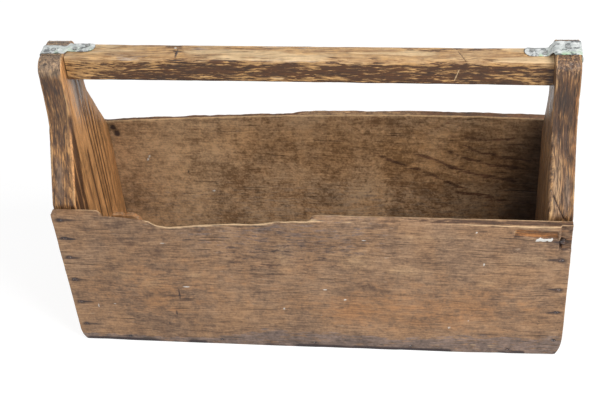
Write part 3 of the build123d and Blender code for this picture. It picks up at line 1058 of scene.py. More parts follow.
def end_marks(board):
    """Wear, dirt, tones, painted shade and a painted sheen of an end board."""
    y, z, depth, points, state = board.y, board.z, board.depth, board.points, board.state
    rim, inner_face, outer_face = board.rim, board.inner_face, board.outer_face
    patches = {mark: spots(depth, z, table) for mark, table in end_edge_patches[board.side].items()}
    nail_streaks = [((place, bottom_nail_height), nail_streak_size, 1.0) for place in end_bottom_nail_places]
    iron = spots(y, z, nail_streaks) * outer_face
    ragged = crown_raggedness * (cloud(points, "end_crown") - 0.5)
    crown = ease(board.shoulder - crown_blur[0], board.shoulder + crown_blur[1], z + ragged)
    crown = crown * (rim | (z > board.height - end_top_skin))
    edge = near(board.distance, end_rim_fade) * (outer_face | inner_face)
    arris = rim * most(near(depth, end_arris_share), near(1 - depth, end_arris_share))
    worn_face = inner_face * board.worn_arris * near(board.distance, worn_arris_fade) * (state.arris > 0)
    worn = most(edge, arris) * cloud(points, "end_patches")
    worn = most(worn, rim * patches["wear"], 0.6 * worn_face)
    clean = np.clip(1 - 0.6 * patches["grey"] - patches["wear"] - 0.75 * patches["pale"], 0, 1)
    rim_dirt = most((0.55 + 0.5 * cloud(points, "end_tint", board.sign)) * clean, patches["grime"])
    dirt = rim * rim_dirt * state.dirt * (1 - 0.95 * crown) + state.crown_dirt * crown
    # Painted shade on the inner faces, strongest on the right end's, which faces away from the light; dirt
    # smears outside
    face_dirt_and_shade = np.where(inner_face, state.painted_inner_shade, 0.35 * cloud(points, "end_smears") * ~rim)
    # The polished part of the inner face: less rough, and painted grey as a painted sheen of the white
    # surroundings
    polish_and_sheen = inner_face * ease(*polish_and_sheen_heights, z) * within(y, *polish_and_sheen_span)
    band_width = band_widths[0] + (band_widths[1] - band_widths[0]) * ease(*band_width_heights, z)
    band = board.before * within(board.distance, band_gap, band_width, band_blur) * within(z, *band_heights)
    band = state.band * band * (0.45 + 0.65 * ease(0.36, 0.58, board.fine_lines))
    lines = most(0.5 * board.furrows, 0.9 * board.grooves, 0.9 * band) * inner_face
    return {
        "stain": most(iron, board.crack, lines),
        # Grey on the polished part is a painted sheen; on the right's inner face it is part of the painted
        # shade
        "grey": most(0.6 * crown, rim * patches["grey"], 0.85 * polish_and_sheen, 1.6 * state.painted_inner_shade * inner_face),
        "pale": most(state.crown_fade * crown, rim * patches["pale"]),
        "fresh": rim * patches["fresh"],
        "shade": rim * patches["shade"] * (1 - crown),
        "wear": most(0.75 * worn, state.crown_wear * crown * ease(0.45, 0.65, board.softness)),
        "warm": state.warmth * inner_face + 0.25 * outer_face,
        "grime": most(dirt, face_dirt_and_shade),
        "polish_and_sheen": polish_and_sheen,
        "rim": rim * (1 - crown),
    }


def end_board(side, material):
    board = end_shape(side)
    end_faces(board)
    marks = end_marks(board)
    quads = board.quads[:, ::-1] if board.sign > 0 else board.quads
    name = f"{side}_end_board"
    new_piece(name + "_worn", board.points, quads, material, "end_wood", name, **marks)


# Bottom board: the layers of its grid, the radii of its edges and the reach of the dirt along them
bottom_layers = 5
bottom_under_radius = 0.001
bottom_upper_radius = 0.0008
bottom_dirt_reach = 0.02


def bottom_board(material):
    xs, ys = (spaced(bottom_low[axis], bottom_high[axis], bottom_pitches[axis]) for axis in (0, 1))
    (x, y, share), quads = lattice(xs, ys, np.linspace(0, 1, bottom_layers))
    thickness = bottom_high[2] - bottom_low[2]
    points = columns(x, y, share * thickness)
    gap = np.minimum(bottom_high[0] - np.abs(x), bottom_high[1] - np.abs(y))
    under = rounding(gap, bottom_under_radius) + relief(points, "bottom_under")
    upper = rounding(gap, bottom_upper_radius) + relief(points, "bottom_upper")
    upper += dents(x, y, "bottom_upper", tuple(bottom_low[:2]), tuple(bottom_high[:2]))
    points[:, 2] = under + share * (thickness - under - upper)
    marks = {
        "grime": 0.45 + 0.4 * near(gap, bottom_dirt_reach) + 0.3 * (cloud(points, "bottom_grime") - 0.5),
        "grey": 0.5 * cloud(points, "bottom_grey"),
        "stain": 0.4 * cloud(points, "bottom_stain"),
        "warm": 0.3 * cloud(points, "bottom_warm"),
    }
    new_piece("bottom_board_worn", points, quads, material, "bottom_wood", "bottom_board", **marks)


# Handle rail: nearly square at its ends, worn along the grip and sloping a little down to the right
rail_height = 0.032
rail_slope = rail_high[2] - rail_low[2] - rail_height
rail_half_depth = rail_high[1]
rail_end_radius = 0.0024
grip_radius = 0.0062
grip_half_length = 0.21
rail_fade = 0.06
rail_lines = np.linspace(-1, 1, 27)
least_offset = 1e-6

# Relief of the rail: its waves, its fibres, its chipped corners, and knocks round its girth
rail_wave_depth = 0.0003
rail_fibre_depth = 0.0004
rail_chip_depth = 0.002
rail_dent_share = 0.7
rail_dent_radius = 0.015
rail_dent_reach = 0.047

# A notch and a slanting crack across the rail's top, and the finer columns that show them
notch_x = -0.1465
notch_y = -0.004
notch_size = (0.0014, 0.0105)
notch_depth = 0.0009
rail_crack_x = 0.1745
rail_crack_slant = 0.45
rail_crack_half_width = 0.001
rail_crack_span = (-0.013, 0.008, 0.002)
rail_crack_depth = 0.0007
fine_columns = np.arange(-0.008, 0.008, 0.0007)

# Dirt and wear of the rail: how far its dirt starts below its top and how ragged that edge is, the cleaner
# left end, the lighter stretch near the right end and the painted shade right beside the right end board,
# worn patches, the worn lower corner, and a scratch on its front
rail_dirt_drop = (0.0008, 0.0085)
rail_dirt_raggedness = 0.018
rail_left_clean = (-0.19, -0.26)
rail_left_raggedness = 0.04
rail_right_clean = (0.225, 0.25)
rail_right_end_shade = (0.262, 0.274)
thick_dirt_span = (0.04, 0.21, 0.03)
top_patch = ((-0.113, -0.006), (0.013, 0.008), 0.6)
low_rim_drop = (0.024, 0.0285, 0.001)
rail_scratch_x = 0.178
rail_scratch_slant = 0.35
rail_scratch_half_width = 0.0011
rail_scratch_drop = (0.011, 0.026, 0.002)
rail_paint = ((notch_x - 0.0028, 0.007), (0.0018, 0.0012), 1.0)


def rail_top(x):
    """Height of the rail's top at each place along X."""
    return rail_high[2] - rail_slope * (x + inner_half_length) / (2 * inner_half_length)


def rail_shape():
    """The rail with its worn corners and its relief, with what its marks are worked out from."""
    marked = [place + fine_columns for place in (notch_x, rail_crack_x)]
    xs = np.unique(np.concatenate([spaced(rail_low[0], rail_high[0], board_pitch), *marked]))
    (x, across, up), quads = lattice(xs, rail_lines * rail_half_depth, rail_lines * rail_height / 2)
    grip = 1 - ease(grip_half_length - rail_fade / 2, grip_half_length + rail_fade, np.abs(x))
    worn_corner = np.where((across < 0) & (up > 0), 1.0, 0.2)
    wear = grip * worn_corner * (0.5 + cloud(columns(x, across, up), "rail_wobble"))
    radius = rail_end_radius + (grip_radius - rail_end_radius) * wear
    core_y = np.clip(across, radius - rail_half_depth, rail_half_depth - radius)
    core_z = np.clip(up, radius - rail_height / 2, rail_height / 2 - radius)
    out_y = across - core_y
    out_z = up - core_z
    length = np.hypot(out_y, out_z)
    skin = length > least_offset
    normal_y, normal_z = (np.where(skin, out / np.where(skin, length, 1), 0) for out in (out_y, out_z))
    shape = columns(x, core_y + normal_y * radius, core_z + normal_z * radius)
    y = shape[:, 1]
    knocks = ((rail_low[0], -rail_dent_reach), (rail_high[0], rail_dent_reach))
    bevel = 1 - np.maximum(np.abs(normal_y), np.abs(normal_z))
    notch = spot(x, y, (notch_x, notch_y), notch_size) * (normal_z > 0.3)
    crack = stroke(x - rail_crack_x + rail_crack_slant * y, rail_crack_half_width) * (normal_z > 0.2)
    crack = crack * within(y, *rail_crack_span)
    depth = rail_wave_depth * cloud(shape, "rail_waves") + rail_fibre_depth * cloud(shape, "rail_fibres")
    depth += rail_dent_share * dents(x, np.arctan2(out_z, out_y) * rail_dent_radius, "rail", *knocks)
    depth += rail_chip_depth * bevel * cloud(shape, "rail_chips")
    depth = np.where(skin, depth + notch_depth * notch + rail_crack_depth * crack, 0)
    points = shape - depth[:, None] * columns(np.zeros(len(x)), normal_y, normal_z)
    points[:, 2] += rail_top(x) - rail_height / 2
    return SimpleNamespace(
        x=x, y=y, normal_y=normal_y, normal_z=normal_z, points=points, quads=quads, notch=notch, crack=crack
    )


def rail_marks(rail):
    """Polish on the rail's top, dirt on its sides, its scars, and painted shade beside the right end board.
    """
    x, y, points, normal_z = rail.x, rail.y, rail.points, rail.normal_z
    upper = normal_z > 0.3
    edge = cloud(points, "rail_edge")
    drop = rail_top(x) - points[:, 2]
    on_sides = ease(*rail_dirt_drop, drop + rail_dirt_raggedness * (edge - 0.5))
    near_left = ease(*rail_left_clean, x + rail_left_raggedness * (edge - 0.5))
    thickness = 0.52 + 0.2 * within(x, *thick_dirt_span) + 0.6 * cloud(points, "rail_smears")
    grime = on_sides * thickness * (1 - 0.45 * near_left) * (1 - 0.3 * ease(*rail_right_clean, x))
    patches = most(0.45 * cloud(points, "rail_patches") * upper, spots(x, y, (top_patch,)))
    low_rim = 0.35 * within(drop, *low_rim_drop) * ease(0.45, 0.7, edge)
    slanted = x - rail_scratch_x - rail_scratch_slant * (points[:, 2] - rail_high[2])
    scratch = stroke(slanted, rail_scratch_half_width) * (rail.normal_y < -0.7)
    scratch = 0.7 * scratch * within(drop, *rail_scratch_drop)
    polished = 0.7 * ease(0.35, 0.75, normal_z) * cloud(points, "rail_polish")
    # Painted shade on the rail's sides right beside the right end board, laid with the stain mark
    right_end_shade = 0.55 * ease(*rail_right_end_shade, x) * on_sides
    return {
        # Faces turned down, on the rail's underside, are darkened almost fully
        "grime": most(grime, patches, 0.95 * ease(-0.25, -0.75, normal_z)),
        "wear": most(polished, low_rim, scratch),
        "stain": most(0.85 * rail.notch, 0.6 * rail.crack, right_end_shade),
        "grey": 0.5 * cloud(points, "rail_grey") * upper,
        "warm": 0.35 + 0.5 * on_sides,
        "paint": spots(x, y, (rail_paint,)) * (normal_z > 0.6),
    }


def handle_rail(material):
    rail = rail_shape()
    marks = rail_marks(rail)
    new_piece("handle_rail_worn", rail.points, rail.quads, material, "rail_wood", "handle_rail", **marks)


# Straps: a tongue on the rail, a bend up to the end board's top, and a leg down its outer face
strap_thickness = 0.0012
strap_tongue_length = 0.032
strap_tongue_span = (-0.004, 0.013)
strap_head_spans = {"left": (-0.013, 0.007), "right": (-0.0132, 0.0148)}
strap_front_wear = {"left": 0.0028, "right": 0.0}
strap_dirt = {"left": 0.9, "right": 0.75}
strap_tip_radii = (0.01, 0.0045)
strap_leg_length = 0.018
strap_bend_run = 0.006
strap_bend_lap = 0.001
strap_bend_radius = 0.0022
strap_bend_steps = 9
strap_step = 0.0009
strap_lines = np.concatenate([[0, 0.03], np.linspace(0.07, 0.93, 25), [0.97, 1]])
strap_widening = (-0.0018, 0.0012)
strap_waviness = 0.0009
strap_dent_depth = 0.0007
strap_rim_fade = 0.0016
strap_tint_fade = 0.0045


def strap_path(side):
    """Corner points of a strap's underside along X and Z, from the tongue's tip to the leg's end."""
    sign = side_signs[side]
    top = strap_heights[side] - strap_thickness
    tip = inner_half_length - strap_tongue_length
    foot = inner_half_length - strap_bend_run
    return np.array([
        (tip, rail_top(sign * tip)),
        (foot, rail_top(sign * foot)),
        (inner_half_length + strap_bend_lap, top),
        (half_length, top),
        (half_length, top - strap_leg_length),
    ])


def smooth_path(corners, step, radius):
    """Evenly spaced points along straight runs whose corners are cut by short arcs."""
    points = [corners[0]]
    for before, corner, after in zip(corners, corners[1:], corners[2:]):
        back = (before - corner) / np.linalg.norm(before - corner)
        forth = (after - corner) / np.linalg.norm(after - corner)
        for part in np.linspace(0, 1, strap_bend_steps):
            points.append(corner + radius * (back * (1 - part) ** 2 + forth * part**2))
    points = np.array([*points, corners[-1]])
    lengths = np.concatenate([[0], np.cumsum(np.linalg.norm(np.diff(points, axis=0), axis=1))])
    places = np.linspace(0, lengths[-1], round(lengths[-1] / step) + 1)
    return columns(*(np.interp(places, lengths, points[:, axis]) for axis in (0, 1))), places


def strap_edges(side, x, run):
    """Places along Y of a strap's front and back edges."""
    widen = ease(inner_half_length + strap_widening[0], inner_half_length + strap_widening[1], x)
    runs = columns(run, np.zeros(len(run)), np.zeros(len(run)))
    edges = []
    for number, way in enumerate((1, -1)):
        tongue = strap_tongue_span[number]
        head = strap_head_spans[side][number] + (strap_front_wear[side] if way > 0 else 0)
        edge = tongue + way * rounding(run, strap_tip_radii[number]) + widen * (head - tongue)
        wavy = strap_waviness * cloud(runs, "strap_edge", side_signs[side] + way)
        edges.append(edge + way * wavy)
    return edges


def strap(side, material):
    sign = side_signs[side]
    path, places = smooth_path(strap_path(side), strap_step, strap_bend_radius)
    tangent = np.gradient(path, axis=0)
    tangent /= np.linalg.norm(tangent, axis=1)[:, None]
    (step, share, layer), quads = lattice(np.arange(len(path)), strap_lines, np.array([0.0, 0.5, 1.0]))
    step = step.astype(int)
    x, z = path[step].T
    run = places[step]
    front_edge, back_edge = strap_edges(side, x, run)
    width = back_edge - front_edge
    y = front_edge + share * width
    sheet = columns(run, y, np.zeros(len(x)))
    height = layer * (strap_thickness - strap_dent_depth * cloud(sheet, "strap_dents", sign))
    normal_x, normal_z = -tangent[step, 1], tangent[step, 0]
    points = columns(sign * (x + normal_x * height), y, z + normal_z * height)
    rim = near(np.minimum(share, 1 - share) * width, strap_rim_fade)
    marks = {
        "grime": strap_dirt[side] * cloud(sheet, "strap_grime", sign) + 0.6 * rim,
        "tint": near(share * width, strap_tint_fade) * cloud(sheet, "strap_tint", sign),
    }
    quads = quads if sign > 0 else quads[:, ::-1]
    name = f"{side}_strap"
    new_piece(name + "_bent", points, quads, material, "galvanised_sheet", name, **marks)


# Cut nails, sunk a little below the wood, and the round nails of the straps. Heads have half sizes and a
# thickness, shanks and tips half sizes, and the last value is how far the head's top stands out.
nail_shapes = {
    "cut": ((0.003, 0.00225, 0.0016), (0.0019, 0.0013), (0.001, 0.0013), -0.0007),
    "round": ((0.0031, 0.0031, 0.001), (0.0012, 0.0012), (0.0007, 0.0007), 0.001),
}
corner_nail_length = 0.05
bottom_nail_length = 0.04
rail_nail_length = 0.06
strap_nail_length = 0.018
nail_lines = np.linspace(-1, 1, 9)
nail_neck_gaps = (-0.0012, 0.0, 0.0002)
nail_top_gaps = (-0.0003, 0.0)
nail_level_gap = 0.0001
nail_noise_stretch = 300
nail_noise_step = 7
nail_crown_shares = {"cut": 0.15, "round": 0.45}

# Places of the nails in the rail and the straps
rail_nail_height_share = 0.24
rail_nail_spread_share = 0.4
strap_nail_place_shares = (0.3, 0.72)
strap_nail_stagger = 0.0034
strap_leg_nail_share = 0.55
strap_leg_nail_spread_share = 0.56


def nail(place, outward, grain, length, kind, seed):
    """One nail: a hammered head and a tapered shank."""
    head, shank, tip, top = nail_shapes[kind]
    neck = top - head[2]
    necks = [neck + gap for gap in nail_neck_gaps]
    tops = [top + gap for gap in nail_top_gaps]
    levels = np.array([-length, -length / 2, *necks, *tops])
    (across, over, level), quads = lattice(nail_lines, nail_lines, levels)
    in_head = level > neck + nail_level_gap
    down = np.clip((neck - level) / (length + neck), 0, 1)
    if kind == "round":
        disc = across * np.sqrt(1 - over**2 / 2), over * np.sqrt(1 - across**2 / 2)
        across, over = np.where(in_head, disc[0], across), np.where(in_head, disc[1], over)
    wide = np.where(in_head, head[0], shank[0] + (tip[0] - shank[0]) * down)
    deep = np.where(in_head, head[1], shank[1] + (tip[1] - shank[1]) * down)
    uneven = cloud(columns(across + nail_noise_step * seed, over, level * nail_noise_stretch), "nail_head")
    shrink = np.where(in_head, 0.86 + 0.14 * uneven, 1)
    sunken = nail_crown_shares[kind] * np.hypot(across, over) ** 2 + 0.25 * uneven
    crown = np.where(level > top - nail_level_gap, head[2] * sunken, 0)
    outward = np.array(outward, float)
    grain = np.array(grain, float)
    offsets = (across * wide * shrink, over * deep * shrink, level - crown)
    axes = (grain, np.cross(outward, grain), outward)
    return np.array(place) + sum(part[:, None] * axis for part, axis in zip(offsets, axes)), quads


def nail_group(name, places, outward, grain, length, material, kind="cut"):
    """All the nails of one joint as one piece."""
    made = [
        nail(place, outward, grain, length, kind, number + len(name)) for number, place in enumerate(places)
    ]
    points = np.concatenate([part for part, _ in made])
    quads = np.concatenate([faces + number * len(made[0][0]) for number, (_, faces) in enumerate(made)])
    new_piece(name + "_hammered", points, quads, material, "iron_nail", name)


def strap_nails(side, sign, zinc):
    top = strap_heights[side]
    up = (0, 0, 1)
    along_x = (1, 0, 0)
    places = []
    for share, way in zip(strap_nail_place_shares, (-1, 1)):
        x = sign * (inner_half_length - strap_tongue_length * share)
        y = sum(strap_tongue_span) / 2 + way * strap_nail_stagger
        places.append((x, y, rail_top(x) + strap_thickness))
    nail_group(f"{side}_strap_rail_nails", places, up, along_x, strap_nail_length, zinc, "round")
    head_low, head_high = strap_head_spans[side]
    middle = (head_low + head_high) / 2
    place = (sign * (half_length - end_thickness / 2), middle, top)
    nail_group(f"{side}_strap_top_nail", [place], up, along_x, strap_nail_length, zinc, "round")
    height = top - strap_thickness - strap_leg_length * strap_leg_nail_share
    reach = (head_high - head_low) * strap_leg_nail_spread_share / 2
    places = [(sign * (half_length + strap_thickness), middle + y, height) for y in (-reach, reach)]
    nail_group(f"{side}_strap_leg_nails", places, (sign, 0, 0), (0, 1, 0), strap_nail_length, zinc, "round")


def all_nails(iron, zinc):
    walls = {"front": -1, "back": 1}
    for side, sign in side_signs.items():
        x = sign * (half_length - corner_nail_inset)
        out = (sign, 0, 0)
        for wall, way in walls.items():
            places = [(x, way * half_depth, z) for z in corner_nail_heights[wall][side]]
            nail_group(f"{wall}_{side}_nails", places, (0, way, 0), (1, 0, 0), corner_nail_length, iron)
        places = [(sign * half_length, y, bottom_nail_height) for y in end_bottom_nail_places]
        nail_group(f"{side}_bottom_nails", places, out, (0, 1, 0), corner_nail_length, iron)
        reach = rail_half_depth * rail_nail_spread_share
        height = rail_top(sign * inner_half_length) - rail_height * (1 - rail_nail_height_share)
        places = [(sign * half_length, y, height) for y in (-reach, reach)]
        nail_group(f"{side}_rail_nails", places, out, (0, 1, 0), rail_nail_length, iron)
        strap_nails(side, sign, zinc)
    for wall, way in walls.items():
        places = [(x, way * half_depth, bottom_nail_height) for x in side_bottom_nail_places]
        nail_group(f"{wall}_bottom_nails", places, (0, way, 0), (1, 0, 0), bottom_nail_length, iron)


class Graph:
    """Adds shader nodes to the node tree of a material or a world."""

    def __init__(self, owner):
        owner.use_nodes = True
        self.owner = owner
        self.tree = owner.node_tree

    def put(self, socket, value):
        if isinstance(value, bpy.types.NodeSocket):
            self.tree.links.new(value, socket)
        else:
            socket.default_value = value

    def add(self, kind, inputs=(), output=0, **settings):
        node = self.tree.nodes.new("ShaderNode" + kind)
        for key, value in settings.items():
            setattr(node, key, value)
        for key, value in dict(inputs).items():
            self.put(node.inputs[key], value)
        return node.outputs[output]

    def math(self, operation, first, second=0.0):
        return self.add("Math", {0: first, 1: second}, operation=operation)

    def plus(self, first, second):
        return self.math("ADD", first, second)

    def minus(self, first, second):
        return self.math("SUBTRACT", first, second)

    def times(self, first, second):
        return self.math("MULTIPLY", first, second)

    def vector(self, operation, first, second):
        return self.add("VectorMath", {0: first, 1: second}, operation=operation)

    def noise(self, place, scale, detail=2.0, roughness=0.5):
        inputs = {"Vector": place, "Scale": scale, "Detail": detail, "Roughness": roughness}
        return self.add("TexNoise", inputs)

    def step(self, value, low, high, to_low=0.0, to_high=1.0):
        inputs = {0: value, 1: low, 2: high, 3: to_low, 4: to_high}
        return self.add("MapRange", inputs, interpolation_type="SMOOTHSTEP")

    def mark(self, name):
        return self.add("Attribute", output=2, attribute_name=name)

    def mix(self, factor, first, second):
        return self.add("Mix", {0: factor, 6: first, 7: second}, output=2, data_type="RGBA")

    def blend(self, factor, first, second):
        return self.add("Mix", {0: factor, 2: first, 3: second}, data_type="FLOAT")

    def finish(self, colour, roughness, height, relief_depth, **constants):
        """Links the colour, the roughness and a bump to the material's shader, and sets its constants."""
        bump = self.add("Bump", {"Height": height, "Strength": 1.0, "Distance": relief_depth})
        inputs = {"Base Color": colour, "Roughness": roughness, "Normal": bump, **constants}
        for name, value in inputs.items():
            self.put(self.tree.nodes["Principled BSDF"].inputs[name], value)
        return self.owner


def tone(red, green, blue):
    """A linear colour from screen values of 0 to 255."""
    values = []
    for value in (red, green, blue):
        share = value / 255
        values.append(share / 12.92 if share <= 0.04045 else ((share + 0.055) / 1.055) ** 2.4)
    return (*values, 1.0)


# How far the noises of the wood are drawn out along the grain, and the stretch, scale, detail and roughness
# of each. Noises aside are moved away, so that they don't follow the others.
grain_stretches = {"long": 0.055, "middling": 0.11, "short": 0.2, "thin": 0.035, "none": 1.0}
grain_noises = {
    "fibre": ("long", 950.0, 2.0, 0.65),
    "streak": ("long", 330.0, 3.0, 0.65),
    "broad": ("long", 110.0, 2.0, 0.6),
    "brush": ("short", 150.0, 4.0, 0.7),
    "speckle": ("none", 340.0, 2.0, 0.6),
    "mottle": ("none", 95.0, 5.0, 0.72),
    "patch": ("none", 15.0, 4.0, 0.6),
    "crack": ("thin", 400.0, 1.0, 0.5),
    "scuff": ("short", 380.0, 2.0, 0.6),
    "speck": ("aside", 300.0, 2.0, 0.5),
    "hue": ("aside", 24.0, 4.0, 0.62),
}
aside_shift = (3.17, 7.71, 1.33)
fleck_detail = (3.0, 0.7)
swirl_scale = 9.0

# Noises of the upright boards' rims, which run along the rims instead
rim_noises = {"fibre": 950.0, "streak": 600.0, "flecks": 880.0}
rim_stretch = (1.0, 0.07, 0.07)
rim_detail = (3.0, 0.65)

# Levels between which the noises turn into hues, dark late wood, cracks, specks and scuffs
hue_levels = (0.38, 0.62)
ring_levels = (0.35, 0.6)
late_wood_rise = (0.5, 0.9)
late_wood_fall = (1.0, 0.94)
crack_levels = (0.3, 0.26)
speck_levels = (0.3, 0.25)
scuff_levels = (0.68, 0.76)
rough_levels = (0.2, 0.8)
polish_share = 0.75
bump_shares = {"fibre": 0.6, "streak": 0.9, "brush": 0.8}

# The marks in the order they lie on the wood: what breaks their edges and how much, the levels between
# which they fade in, their strength, and how much darker and lighter they get with the wood under them
overlays = (
    ("pale", "clumps", 1.5, 0.0, 1.0, 0.8, 0.6, 1.25),
    ("warm", "clumps", 2.0, 0.2, 0.9, 0.75, 0.55, 1.3),
    ("grey", "flecks", 3.5, 0.25, 0.8, 0.85, 0.42, 1.75),
    ("grime", "flecks", 4.5, 0.25, 0.8, 0.97, 0.5, 1.8),
    ("wear", "fine", 2.0, 0.3, 0.75, 0.85, 0.75, 1.2),
    ("fresh", "fine", 2.0, 0.2, 0.7, 0.9, 0.4, 1.5),
    ("shade", "clumps", 1.0, 0.0, 1.0, 0.92, 0.7, 1.3),
    ("stain", "fine", 1.6, 0.2, 0.75, 0.93, 0.7, 1.3),
    ("paint", "clumps", 1.5, 0.35, 0.6, 0.9, 0.9, 1.05),
)
overlay_start = 0.25

# Looks of the woods: their grain, the tones of the wood and of its marks, and how they shine
shared_look = {
    "grain_axis": 0, "wander": (0.0, 0.01, 0.01), "breakage": 1.0,
    "contrast": {"fibre": 1.9, "streak": 0.7, "speckle": 0.9, "brush": 0.6, "mottle": 1.6, "patch": 1.3},
    "fleck_stretch": "short", "fleck_scale": 300.0, "ring_wobble": 1.2,
    "cool": (0.98, 1.0, 1.03, 1.0), "hot": (1.03, 0.99, 0.93, 1.0),
    "pale": tone(196, 162, 124), "grey": tone(112, 97, 90), "grime": tone(78, 57, 44),
    "wear": tone(206, 168, 122), "fresh": tone(164, 110, 64), "shade": tone(40, 30, 27),
    "stain": tone(46, 37, 40), "paint": tone(226, 224, 218),
    "crack": tone(62, 44, 34), "cracks": 0.7, "specks": 0.5, "scuff": tone(186, 162, 138), "scuffs": 0.45,
    "gloss": 0.35, "relief": 0.0006, "furrow": 0.4,
}
front_look = {
    **shared_look,
    "dark": tone(98, 74, 57), "light": tone(178, 142, 109), "late": tone(96, 70, 52),
    "warm": tone(166, 118, 77), "wear": tone(210, 178, 138),
    "pith": (0.0, -0.25, 0.02), "lean": (0.0, 0.02, 0.02), "ring_width": 0.006, "ring_strength": 0.15,
    "roughness": (0.55, 0.72),
}
back_look = {
    **shared_look,
    "dark": tone(124, 93, 65), "light": tone(212, 173, 131), "late": tone(84, 56, 34),
    "warm": tone(190, 142, 92), "grey": tone(140, 120, 100), "grime": tone(102, 72, 52),
    "contrast": {"fibre": 1.2, "streak": 0.4, "speckle": 1.5, "brush": 0.7, "mottle": 2.5, "patch": 2.2},
    "breakage": 0.5, "hot": (1.04, 0.99, 0.92, 1.0),
    "pith": (0.3, 0.113, 0.07), "lean": (0.0, 0.11, 0.32), "ring_width": 0.015, "ring_strength": 0.45,
    "ring_wobble": 2.2, "furrow": 0.1, "roughness": (0.52, 0.7),
}
back_outer_look = {
    **front_look,
    "pith": (0.0, 0.27, 0.05), "lean": (0.0, 0.03, 0.03), "ring_width": 0.0075, "ring_strength": 0.3,
}
end_look = {
    **shared_look,
    "grain_axis": 2, "wander": (0.008, 0.008, 0.0), "breakage": 0.55,
    "contrast": {"fibre": 2.2, "streak": 2.2, "broad": 1.1, "brush": 0.8, "mottle": 0.9, "patch": 0.8},
    "fleck_stretch": "long", "fleck_scale": 420.0,
    "dark": tone(88, 58, 34), "light": tone(200, 150, 96), "late": tone(90, 55, 32),
    "pale": tone(184, 156, 124), "warm": tone(217, 158, 102), "grey": tone(112, 94, 80),
    "grime": tone(72, 48, 31), "wear": tone(192, 152, 106), "stain": tone(66, 42, 30),
    "pith": (0.24, -0.03, 0.1), "lean": (0.06, 0.06, 0.0), "ring_width": 0.0085, "ring_strength": 0.8,
    "roughness": (0.34, 0.55), "gloss": 0.5, "relief": 0.0008, "furrow": 0.9,
}
bottom_look = {
    **shared_look,
    "dark": tone(78, 60, 44), "light": tone(142, 114, 86), "late": tone(70, 50, 34),
    "warm": tone(146, 104, 64),
    "pith": (0.0, 0.03, -0.06), "lean": (0.0, 0.05, 0.1), "ring_width": 0.007, "ring_strength": 0.5,
    "roughness": (0.55, 0.75),
}
rail_look = {
    **shared_look,
    "contrast": {"fibre": 2.0, "streak": 1.7, "brush": 1.0, "mottle": 1.4, "patch": 0.8},
    "breakage": 0.9, "fleck_stretch": "middling", "fleck_scale": 560.0,
    "dark": tone(134, 96, 58), "light": tone(214, 180, 136), "late": tone(120, 80, 46),
    "warm": tone(200, 152, 92), "grey": tone(158, 138, 120), "grime": tone(64, 37, 19),
    "wear": tone(212, 182, 140), "scuff": tone(206, 166, 112), "scuffs": 0.8,
    "pith": (0.0, 0.03, 0.33), "lean": (0.0, 0.01, 0.03), "ring_width": 0.0042, "ring_strength": 0.35,
    "roughness": (0.42, 0.62), "gloss": 0.45,
}


def wood_noises(g, place, warped, look):
    """The noises that the wood's colour and relief are made from."""
    stretched = {"aside": g.vector("ADD", place, aside_shift)}
    for key, amount in grain_stretches.items():
        factors = [1.0, 1.0, 1.0]
        factors[look["grain_axis"]] = amount
        stretched[key] = g.vector("MULTIPLY", warped, tuple(factors))
    noises = {key: g.noise(stretched[way], *recipe) for key, (way, *recipe) in grain_noises.items()}
    noises["flecks"] = g.noise(stretched[look["fleck_stretch"]], look["fleck_scale"], *fleck_detail)
    if look["grain_axis"] == 2:
        lines = g.vector("MULTIPLY", warped, rim_stretch)
        for key, scale in rim_noises.items():
            noises[key] = g.blend(g.mark("rim"), noises[key], g.noise(lines, scale, *rim_detail))
    return noises


def late_wood(g, warped, noises, look):
    """The dark parts of growth rings round a leaning pith."""
    axis = look["grain_axis"]
    apart = g.vector("SUBTRACT", warped, look["pith"])
    run = g.add("SeparateXYZ", {0: apart}, output=axis)
    runs = g.add("CombineXYZ", {0: run, 1: run, 2: run})
    leaning = g.vector("ADD", apart, g.vector("MULTIPLY", runs, look["lean"]))
    flat = [1.0, 1.0, 1.0]
    flat[axis] = 0.0
    crosswise = g.vector("MULTIPLY", leaning, tuple(flat))
    radius = g.add("VectorMath", {0: crosswise}, output=1, operation="LENGTH")
    wobble = g.plus(g.times(noises["patch"], look["ring_wobble"]), noises["brush"])
    turn = g.math("FRACT", g.plus(g.math("DIVIDE", radius, look["ring_width"]), wobble))
    late = g.times(g.step(turn, *late_wood_rise), g.step(turn, *late_wood_fall))
    strength = look["ring_strength"]
    rings_here = g.step(noises["mottle"], *ring_levels, 0.4 * strength, strength)
    return g.times(late, g.times(rings_here, g.minus(1.0, g.mark("plain"))))


def lay_marks(g, colour, value, noises, look):
    """Lays the marks over the colour of the wood, with their edges broken by its noises."""
    breakers = {
        "fine": g.plus(g.times(noises["streak"], 0.6), g.times(noises["fibre"], 0.4)),
        "clumps": g.times(g.plus(noises["mottle"], noises["brush"]), 0.5),
        "flecks": noises["flecks"],
    }
    breakers = {key: g.minus(noise, 0.5) for key, noise in breakers.items()}
    for mark, breaker, amount, low, high, strength, dim, bright in overlays:
        level = g.mark(mark)
        spread = g.times(g.step(level, 0.0, overlay_start), amount * look["breakage"])
        edge = g.plus(level, g.times(breakers[breaker], spread))
        darker = tuple(dim * part for part in look[mark][:3]) + (1.0,)
        lighter = tuple(min(bright * part, 1.0) for part in look[mark][:3]) + (1.0,)
        colour = g.mix(g.step(edge, low, high, 0.0, strength), colour, g.mix(value, darker, lighter))
    return colour


